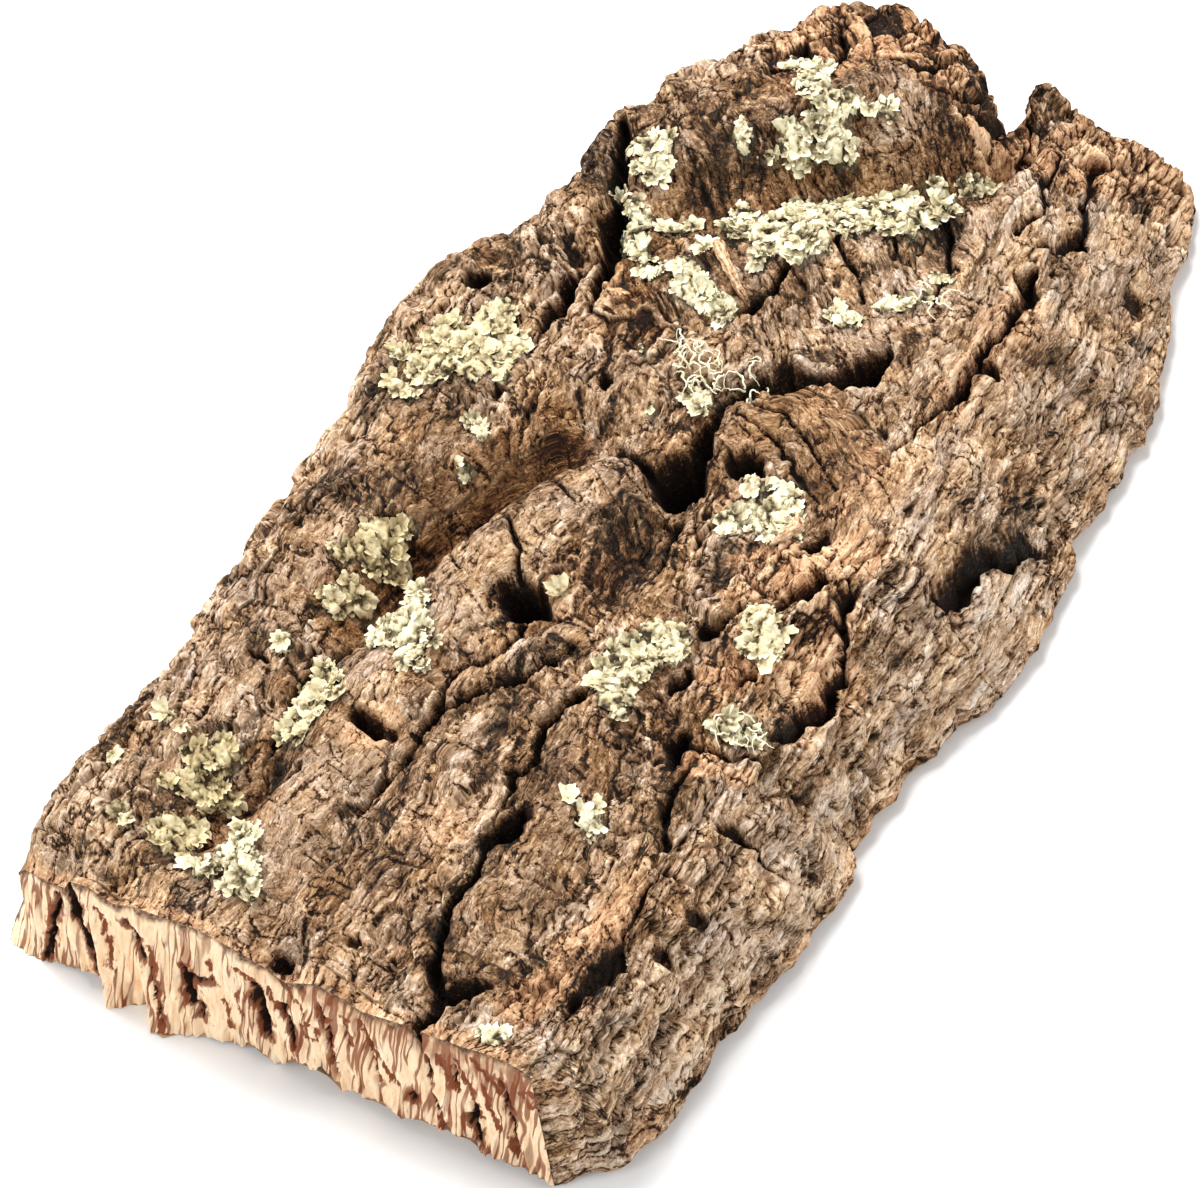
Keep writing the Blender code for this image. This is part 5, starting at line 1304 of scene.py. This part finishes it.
def tube(centre, radii, sides):
    """Grid of points round a line, with a radius for each of its points (or for each point of the grid)."""
    ahead = np.gradient(centre, axis=0)
    ahead /= np.linalg.norm(ahead, axis=-1, keepdims=True)
    side = np.cross(ahead, (0, 0, 1))
    side /= np.linalg.norm(side, axis=-1, keepdims=True)
    up = np.cross(side, ahead)
    turn = np.linspace(0, 2 * math.pi, sides + 1)[None, :, None]
    return centre[:, None] + radii * (np.cos(turn) * side[:, None] + np.sin(turn) * up[:, None])


def bar_piece(name, line, ground, finish):
    """A loose bar of fresh bark that lies on the outer face."""
    run = with_length(line)[:, 2]
    places = np.linspace(0, run[-1], BAR_STEPS)
    x, y, over, radius = (np.interp(places, run, column) for column in np.array(line).T)
    centre = np.stack([x, y, height_at(ground, x, y)[0] + over], axis=-1)
    window = 2 * BAR_BLUR + 1
    for axis in (0, 1, 2):
        padded = np.pad(centre[:, axis], BAR_BLUR, mode="edge")
        centre[:, axis] = np.convolve(padded, np.ones(window) / window, mode="valid")
    along_bar, around = np.meshgrid(places, np.linspace(0, 2 * math.pi, BAR_SIDES + 1), indexing="ij")
    fine = 0.25 * gradient_noise(along_bar / 2.5, 2 * np.cos(around), 1.0, 371)
    fine += 0.12 * gradient_noise(along_bar, 2 * np.sin(around), 0.7, 372)
    swell = radius * np.sqrt(np.sin(math.pi * np.linspace(0.02, 0.98, BAR_STEPS)))
    points = tube(centre, (swell[:, None] * (1 + fine))[..., None], BAR_SIDES)
    gap = np.full(fine.shape, NO_CRACK)
    values = bark_values(along_bar, 3 * np.sin(around), points[..., 2], fine, gap, fresh=np.ones(fine.shape))
    values["light"] = np.clip(values["light"] + 0.12, 0, 1)
    return surface(name, points, finish, values, flipped=True)


def thread(ground, place, rng):
    """One curly thread, a thin tube over the bark. Returns its points and tone."""
    run = np.linspace(0, 1, THREAD_POINTS)
    heading = rng.uniform(0, 2 * math.pi) + np.cumsum(rng.normal(0.1, 0.5, THREAD_POINTS))
    pace = rng.uniform(0.25, 0.55)
    x = place[0] + pace * np.cumsum(np.cos(heading))
    y = place[1] + pace * np.cumsum(np.sin(heading))
    over = 0.3 + rng.uniform(0.9, 2.8) * np.sin(math.pi * run**0.8)
    z = height_at(ground, x, y)[0].mean() + over + 0.15 * rng.normal(size=THREAD_POINTS)
    centre = np.stack([x, y, z], axis=-1)
    points = tube(centre, THREAD_RADIUS * (1.2 - 0.8 * run)[:, None, None], THREAD_SIDES)
    tone = np.full(points.shape[0] * points.shape[1], rng.uniform(0.55, 0.9))
    return points.reshape(-1, 3), tone, grid_quads(*points.shape[:2])


def lichen_crust(outline, ground):
    """Crumpled sheet that fills an outline: its points, tones and faces."""
    corners = np.array(outline, float)
    low, high = corners.min(axis=0) - 1, corners.max(axis=0) + 1
    x, y = np.mgrid[low[0]:high[0]:CRUST_STEP, low[1]:high[1]:CRUST_STEP]
    curled = shaken(x, y, CRUST_SHAKE)
    inside = polygon_inside(outline, *curled)
    height, normal = height_at(ground, x, y)
    swell = np.zeros(x.shape)
    for size, rise, seed in CRUST_LOBES:
        swell += rise * np.minimum(np.abs(gradient_noise(*curled, size, seed)) / 0.3, 1)
    border = smooth(0.4, 1, blurred(inside.astype(float), 2))
    points = np.dstack([x, y, height]) + (0.1 + border * swell)[..., None] * normal
    quads = grid_quads(*x.shape)
    quads = quads[inside.ravel()[quads].all(axis=1)]
    used, faces = np.unique(quads, return_inverse=True)
    # Tone: darker in the hollows between swells as painted shade, with random noise
    tone = -0.15 + 0.62 * swell + 0.22 * gradient_noise(x, y, 3.5, 99)
    return points.reshape(-1, 3)[used], tone.ravel()[used], faces.reshape(-1, 4)


def growths(outlines, thread_outlines, ground, rng):
    """Points, tones and faces of the crusts, lobes and threads that fill the outlines."""
    grown = [lichen_crust(outline, ground) for outline in outlines]
    for outline in outlines:
        places, headings = growth_centres(outline, LOBE_SPACING, rng)
        heights, normals = height_at(ground, *places.T)
        for place, heading, height, normal in zip(places, headings, heights, normals):
            if rng.uniform() < LOBE_SHARE / normal[2]:
                grown.append(lobe(height, normal, place, heading + rng.uniform(-1.0, 1.0), rng))
    for outline in thread_outlines:
        for place in growth_centres(outline, THREAD_SPACING, rng)[0]:
            grown.append(thread(ground, place, rng))
    return grown


def lichen_piece(name, grown, dull, finish):
    """A patch of lichen from the points, tones and faces of what grows there."""
    points, tones, faces = zip(*grown)
    starts = np.cumsum([0] + [len(part) for part in points])
    points = np.concatenate(points)
    faces = np.concatenate([quads + start for quads, start in zip(faces, starts)])
    values = {"tone": np.clip(np.concatenate(tones), 0, 1), "dull": np.full(len(points), dull)}
    return add_piece(name, points, faces, finish, values)


def lichen_pieces(ground, finish):
    """Every patch of lichen, each in the place of its solid."""
    for seed, (name, outlines) in enumerate(LICHENS.items(), 200):
        grown = growths(outlines, THREADS.get(name, []), ground, np.random.default_rng(seed))
        piece = lichen_piece(f"lichen_{name}_lobes", grown, DULL_LICHENS.get(name, USUAL_DULLNESS), finish)
        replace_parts(piece, f"lichen_{name}")
    bits = growths(LICHEN_BITS, [], ground, np.random.default_rng(199))
    lichen_piece("lichen_bits", bits, BITS_DULLNESS, finish)


# Materials

# Colour ramps: (position, colour)
BARK_STOPS = [
    (0.03, (0.009, 0.004, 0.002)), (0.2, (0.05, 0.022, 0.009)), (0.36, (0.17, 0.092, 0.044)),
    (0.52, (0.345, 0.22, 0.13)), (0.70, (0.58, 0.425, 0.295)), (0.95, (0.88, 0.735, 0.59)),
]
FRESH_STOPS = [
    (0.03, (0.02, 0.008, 0.004)), (0.22, (0.13, 0.05, 0.02)), (0.42, (0.43, 0.225, 0.11)),
    (0.65, (0.70, 0.44, 0.25)), (0.95, (0.90, 0.68, 0.45)),
]
SAWN_STOPS = [
    (0.30, (0.78, 0.46, 0.24)), (0.41, (0.94, 0.63, 0.38)), (0.51, (1.0, 0.74, 0.48)),
    (0.64, (1.0, 0.85, 0.61)),
]
BAND_STOPS = [(0.38, (0.22, 0.08, 0.035)), (0.5, (0.47, 0.22, 0.11)), (0.62, (0.80, 0.54, 0.33))]
CRUST_STOPS = [(0.35, (0.05, 0.025, 0.013)), (0.5, (0.2, 0.11, 0.06)), (0.68, (0.45, 0.28, 0.16))]
INNER_STOPS = [(0.3, (0.33, 0.19, 0.10)), (0.7, (0.56, 0.37, 0.21))]
# Lichen: the dark low end paints the shade at lobe roots and in the crust's hollows
LICHEN_STOPS = [
    (0.04, (0.035, 0.026, 0.014)), (0.19, (0.22, 0.175, 0.095)), (0.36, (0.58, 0.50, 0.31)),
    (0.54, (0.83, 0.78, 0.55)), (0.8, (0.93, 0.90, 0.70)),
]

# Single colours
# Dull green painted shade under the lichen patches
GREEN_SHADE_UNDER_LICHEN = 0.16, 0.15, 0.10
SOOT = 0.035, 0.032, 0.022
RED_BROWN = 0.25, 0.07, 0.025
# Near black in the cork's dark lines, and in the slots, where it is painted shade
SLOT_SHADE_AND_DARK_LINES = 0.022, 0.008, 0.004
PORE_DARK = 0.09, 0.04, 0.02
FLOOR_COLOUR = 0.88, 0.88, 0.88


def node(tree, kind, values=(), **settings):
    """A shader node; values are (socket, number, colour or another node's output) pairs."""
    made = tree.nodes.new("ShaderNode" + kind)
    for key, value in settings.items():
        setattr(made, key, value)
    for socket, value in values:
        if isinstance(value, bpy.types.NodeSocket):
            tree.links.new(value, made.inputs[socket])
        else:
            made.inputs[socket].default_value = value
    return made


def attribute(tree, name):
    return node(tree, "Attribute", attribute_name=name).outputs["Fac"]


def mix(tree, factor, first, second, blend="MIX"):
    """Mixed colour; a colour is a triple or another node's output."""
    colours = [c if isinstance(c, bpy.types.NodeSocket) else (*c, 1) for c in (first, second)]
    values = [(0, factor), (6, colours[0]), (7, colours[1])]
    return node(tree, "Mix", values, data_type="RGBA", blend_type=blend, clamp_factor=True).outputs[2]


def calculate(tree, operation, first, second=0.0, clamp=False):
    values = [(0, first), (1, second)]
    return node(tree, "Math", values, operation=operation, use_clamp=clamp).outputs[0]


def ramp(tree, factor, stops):
    """Colour that runs through the stops: (position, colour)."""
    made = node(tree, "ValToRGB", [("Fac", factor)])
    elements = made.color_ramp.elements
    while len(elements) < len(stops):
        elements.new(0.5)
    for element, (position, colour) in zip(elements, stops):
        element.position = position
        element.color = (*colour, 1)
    return made.outputs["Color"]


def noise(tree, size, detail=2.0, stretch=(1, 1, 1), place=None):
    """Noise about 0 to 1 with lumps of the given size, at a place in millimetres or on the model."""
    scale = 1 / size if place else 1 / (size * MM)
    place = place or node(tree, "TexCoord").outputs["Object"]
    place = node(tree, "Mapping", [("Vector", place), ("Scale", stretch)]).outputs[0]
    return node(tree, "TexNoise", [("Vector", place), ("Scale", scale), ("Detail", detail)]).outputs["Fac"]


def new_material(name, roughness):
    made = bpy.data.materials.new(name)
    made.use_nodes = True
    shader = made.node_tree.nodes["Principled BSDF"]
    shader.inputs["Roughness"].default_value = roughness
    shader.inputs["Specular IOR Level"].default_value = 0.25
    return made, made.node_tree, shader


def finish_surface(tree, shader, colour, height, depth):
    """Joins a colour and a fine bump of the given depth in millimetres to the shader."""
    tree.links.new(colour, shader.inputs["Base Color"])
    bump = node(tree, "Bump", [("Height", height), ("Distance", depth * MM), ("Strength", 1.0)])
    tree.links.new(bump.outputs[0], shader.inputs["Normal"])


def between(tree, value, low, high):
    """0 below low, 1 above high, with a smooth turn between them."""
    values = [("Value", value), ("From Min", low), ("From Max", high)]
    return node(tree, "MapRange", values, interpolation_type="SMOOTHSTEP").outputs[0]


def bent(tree, place, size, reach):
    """Place moved about by noise with lumps of the given size in millimetres."""
    values = [("Vector", place), ("Scale", 1 / size), ("Detail", 1.0)]
    colour = node(tree, "TexNoise", values).outputs["Color"]
    moved = node(tree, "VectorMath", [(0, colour), (1, (0.5, 0.5, 0.5))], operation="SUBTRACT").outputs[0]
    moved = node(tree, "VectorMath", [(0, moved), ("Scale", reach)], operation="SCALE").outputs[0]
    return node(tree, "VectorMath", [(0, place), (1, moved)], operation="ADD").outputs[0]


def hairlines(tree, place, size, stretch, width):
    """1 in a broken network of thin lines round cells of the given size, 0 inside the cells."""
    crooked = bent(tree, place, size, 1.2 * size)
    place = node(tree, "Mapping", [("Vector", crooked), ("Scale", stretch)]).outputs[0]
    values = [("Vector", place), ("Scale", 1 / size)]
    away = node(tree, "TexVoronoi", values, feature="DISTANCE_TO_EDGE").outputs["Distance"]
    line = between(tree, away, width / size, 0.4 * width / size)
    present = between(tree, noise(tree, 1.8 * size, 1.0, (1, 1, 1), place), 0.47, 0.56)
    return calculate(tree, "MULTIPLY", line, present)


def total(tree, *parts):
    """Sum of (value, factor) pairs."""
    value = 0.0
    for part, factor in parts:
        value = calculate(tree, "ADD", value, calculate(tree, "MULTIPLY", part, factor))
    return value


def bark_material():
    """Outer bark: tan with thin dark cracks, orange where it broke, a dull green painted shade under lichen,
    and painted shade in its hollows and gullies.
    """
    made, tree, shader = new_material("outer bark", 0.93)
    place = node(tree, "Attribute", attribute_name="grain").outputs["Vector"]
    fibre = noise(tree, 0.7, 3.0, (0.2, 1, 1), place)
    mottle = noise(tree, 1.5, 4.0, (0.6, 1, 1), place)
    grit = noise(tree, 0.4, 2.0, (0.7, 1, 1), place)
    ragged = total(tree, (attribute(tree, "gap"), 1.0), (noise(tree, 0.8, 2.0, (1, 1, 1), place), 0.7))
    thin = between(tree, ragged, 0.52, 0.36)
    hair = hairlines(tree, place, 2.0, (0.55, 1, 1), 0.12)
    streak = between(tree, noise(tree, 1.1, 2.0, (0.1, 1, 1), place), 0.64, 0.70)
    # Pale flecks: partly pale flakes, partly painted highlight on their curled edges
    fleck = between(tree, noise(tree, 0.75, 2.0, (0.6, 1, 1), bent(tree, place, 1.5, 1.0)), 0.60, 0.66)
    pore = between(tree, noise(tree, 0.6, 2.0, (0.7, 1, 1), place), 0.37, 0.31)
    crust = attribute(tree, "crust")
    lighter = (attribute(tree, "light"), 1.0), (fibre, 0.45), (mottle, 0.45), (grit, 0.5), (fleck, 0.16)
    darker = (thin, -0.36), (hair, -0.2), (streak, -0.12), (crust, -0.16), (pore, -0.22)
    light = calculate(tree, "SUBTRACT", total(tree, *lighter, *darker), 0.69, clamp=True)
    bark = ramp(tree, light, BARK_STOPS)
    tint = mix(tree, attribute(tree, "warm"), (0.92, 0.95, 1.02), (1.08, 0.98, 0.82))
    bark = mix(tree, 1.0, bark, tint, "MULTIPLY")
    brown = calculate(tree, "MULTIPLY", attribute(tree, "brown"), 0.7)
    bark = mix(tree, brown, bark, mix(tree, 1.0, bark, (1.0, 0.84, 0.62), "MULTIPLY"))
    colour = mix(tree, attribute(tree, "fresh"), bark, ramp(tree, light, FRESH_STOPS))
    # Dull green painted shade under the lichen patches
    lichen_shade = calculate(tree, "MULTIPLY", attribute(tree, "lichen"), 0.45)
    colour = mix(tree, lichen_shade, colour, GREEN_SHADE_UNDER_LICHEN)
    speck = between(tree, noise(tree, 0.8, 2.0, (0.8, 1, 1), place), 0.5, 0.62)
    sooty = calculate(tree, "MULTIPLY", calculate(tree, "MULTIPLY", crust, speck), 0.75)
    colour = mix(tree, sooty, colour, SOOT)
    height = total(tree, (fibre, 1.0), (mottle, 1.1), (grit, 0.9), (thin, -1.0), (pore, -0.6))
    finish_surface(tree, shader, colour, height, 0.3)
    return made


def sawn_material():
    """Sawn cork: cream with red-brown lines across the thickness, dark lines, slots painted near black as
    shade and a brown crust.
    """
    made, tree, shader = new_material("sawn cork", 0.85)
    place = node(tree, "Attribute", attribute_name="grain").outputs["Vector"]
    busy, depth = attribute(tree, "busy"), attribute(tree, "dark")
    grain = noise(tree, 0.8, 3.0, (1, 0.15, 0.2), place)
    grit = noise(tree, 0.5, 2.0, (1, 0.6, 0.6), place)
    patches = noise(tree, 6.0, 2.0, (1, 0.5, 0.2), place)
    cork = ramp(tree, total(tree, (grain, 0.55), (grit, 0.2), (patches, 0.25)), SAWN_STOPS)
    wandering = bent(tree, place, 7.0, 1.0)
    long = noise(tree, 1.7, 1.0, (1, 0.06, 0.08), wandering)
    away = calculate(tree, "ABSOLUTE", calculate(tree, "SUBTRACT", long, 0.5))
    thin = between(tree, total(tree, (away, 1.0), (busy, -0.025)), 0.05, 0.012)
    present = total(tree, (noise(tree, 3.2, 1.0, (1, 0.12, 0.1), place), 1.0), (busy, 0.12))
    thin = calculate(tree, "MULTIPLY", thin, between(tree, present, 0.49, 0.58))
    dash = between(tree, noise(tree, 0.55, 1.0, (1, 0.1, 0.15), wandering), 0.66, 0.74)
    ragged = calculate(tree, "SUBTRACT", noise(tree, 0.8, 3.0, (1, 0.22, 0.3), place), 0.5)
    red = between(tree, total(tree, (attribute(tree, "red"), 1.0), (ragged, 3.2)), 0.6, 0.1)
    dark = between(tree, total(tree, (depth, 1.0), (ragged, 2.2)), 0.3, -0.1)
    edge = between(tree, total(tree, (depth, 1.0), (ragged, 5.0)), 1.7, 0.6)
    smear = total(tree, (noise(tree, 3.0, 2.0, (1, 0.07, 0.1), wandering), 1.0), (busy, 0.05))
    smear = between(tree, smear, 0.60, 0.68)
    mottled = ramp(tree, noise(tree, 1.6, 3.0, (1, 0.35, 0.3), place), BAND_STOPS)
    colour = mix(tree, calculate(tree, "MULTIPLY", attribute(tree, "band"), 0.6), cork, mottled)
    marks = total(tree, (thin, 0.85), (red, 1.0), (edge, 0.9), (smear, 0.6), (dash, 0.4))
    colour = mix(tree, marks, colour, RED_BROWN)
    brown = ramp(tree, noise(tree, 0.9, 3.0, (1, 1, 1), place), CRUST_STOPS)
    colour = mix(tree, attribute(tree, "crust"), colour, brown)
    # Dark lines of the cork, and slot bottoms painted near black as shade
    colour = mix(tree, dark, colour, SLOT_SHADE_AND_DARK_LINES)
    finish_surface(tree, shader, colour, total(tree, (grain, 0.6), (grit, 0.4), (marks, -0.5)), 0.12)
    return made


def inner_material():
    """Inner face: tan-brown with dark pores."""
    made, tree, shader = new_material("inner face", 0.88)
    streaks = ramp(tree, noise(tree, 3.0, 4.0, (0.25, 1, 1)), INNER_STOPS)
    colour = mix(tree, attribute(tree, "pore"), streaks, PORE_DARK)
    finish_surface(tree, shader, colour, noise(tree, 0.8, 3.0), 0.15)
    return made


def lichen_material():
    """Lichen: pale yellow-green lobes, darker at their roots and in the hollows of the crust as painted
    shade, and browner in some patches.
    """
    made, tree, shader = new_material("lichen", 0.9)
    fine = noise(tree, 0.9, 4.0)
    tone = calculate(tree, "SUBTRACT", total(tree, (attribute(tree, "tone"), 1.0), (fine, 0.7)), 0.35)
    colour = ramp(tree, tone, LICHEN_STOPS)
    brown = mix(tree, 1.0, colour, (0.72, 0.58, 0.36), "MULTIPLY")
    colour = mix(tree, calculate(tree, "MULTIPLY", attribute(tree, "dull"), 0.6), colour, brown)
    finish_surface(tree, shader, colour, fine, 0.15)
    return made


def floor_material():
    """Studio floor: pale, faintly uneven."""
    made, tree, shader = new_material("pale floor", 0.9)
    level = mix(tree, noise(tree, 40.0), FLOOR_COLOUR, tuple(0.985 * c for c in FLOOR_COLOUR))
    finish_surface(tree, shader, level, noise(tree, 2.0), 0.01)
    return made


# Studio

FLOOR_SIZE = 3000.0
FLOOR_GAP = 0.05
SKY_STRENGTH = 0.5
# Lights: (name, place, size, power)
LIGHTS = [
    ("key", (0.6, 0.6, 1.6), 0.75, 38),
    ("left", (-0.8, 0.7, 0.7), 0.8, 6),
    ("right", (0.3, -1.0, 0.7), 0.9, 7),
]


def add_floor():
    corners = np.array([(-1, -1, 0), (1, -1, 0), (1, 1, 0), (-1, 1, 0)]) * FLOOR_SIZE - (0, 0, FLOOR_GAP)
    mesh = bpy.data.meshes.new("floor")
    mesh.from_pydata((corners * MM).tolist(), [], [(0, 1, 2, 3)])
    mesh.materials.append(floor_material())
    floor = bpy.data.objects.new("floor", mesh)
    bpy.context.scene.collection.objects.link(floor)


def add_light(name, place, size, power):
    """Square soft light that faces the slab."""
    lamp = bpy.data.lights.new(name, "AREA")
    lamp.size = size
    lamp.energy = power
    made = bpy.data.objects.new(name, lamp)
    made.location = place
    made.rotation_euler = (-Vector(place)).to_track_quat("-Z", "Y").to_euler()
    bpy.context.scene.collection.objects.link(made)


def add_studio():
    scene = bpy.context.scene
    scene.view_settings.view_transform = "Standard"
    scene.world = bpy.data.worlds.new("soft studio")
    scene.world.use_nodes = True
    sky = scene.world.node_tree.nodes["Background"].inputs
    sky["Color"].default_value = (1, 1, 1, 1)
    sky["Strength"].default_value = SKY_STRENGTH
    for light in LIGHTS:
        add_light(*light)


def add_camera():
    azimuth, elevation, roll = map(math.radians, (CAMERA_AZIMUTH, CAMERA_ELEVATION, CAMERA_ROLL))
    level = math.cos(elevation)
    forward = Vector((-math.sin(azimuth) * level, math.cos(azimuth) * level, -math.sin(elevation)))
    right = Vector((math.cos(azimuth), math.sin(azimuth), 0))
    up = right.cross(forward)
    right, up = math.cos(roll) * right - math.sin(roll) * up, math.sin(roll) * right + math.cos(roll) * up
    lens = bpy.data.cameras.new("camera")
    lens.lens = CAMERA_LENS
    lens.sensor_width = CAMERA_SENSOR
    camera = bpy.data.objects.new("camera", lens)
    place = Matrix((right, up, -forward)).transposed().to_4x4()
    place.translation = Vector(CAMERA_TARGET) - forward * CAMERA_DISTANCE
    camera.matrix_world = place
    bpy.context.scene.collection.objects.link(camera)
    bpy.context.scene.camera = camera


# Whole object


def corners(bounds):
    return [list(corner) for corner in bounds]


def main():
    """Builds the slab, its lichens and the studio."""
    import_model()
    finishes = {"bark": bark_material(), "sawn": sawn_material(), "inner": inner_material()}
    pieces, top = bark_pieces(finishes)
    for piece in pieces:
        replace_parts(piece, "bark_slab")
    ground = height_map(top)
    for number, line in enumerate(BARS, 1):
        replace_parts(bar_piece(f"bark_bar_{number}", line, ground, finishes["bark"]), "bark_slab")
    lichen_pieces(ground, lichen_material())
    add_floor()
    add_studio()
    add_camera()


main()
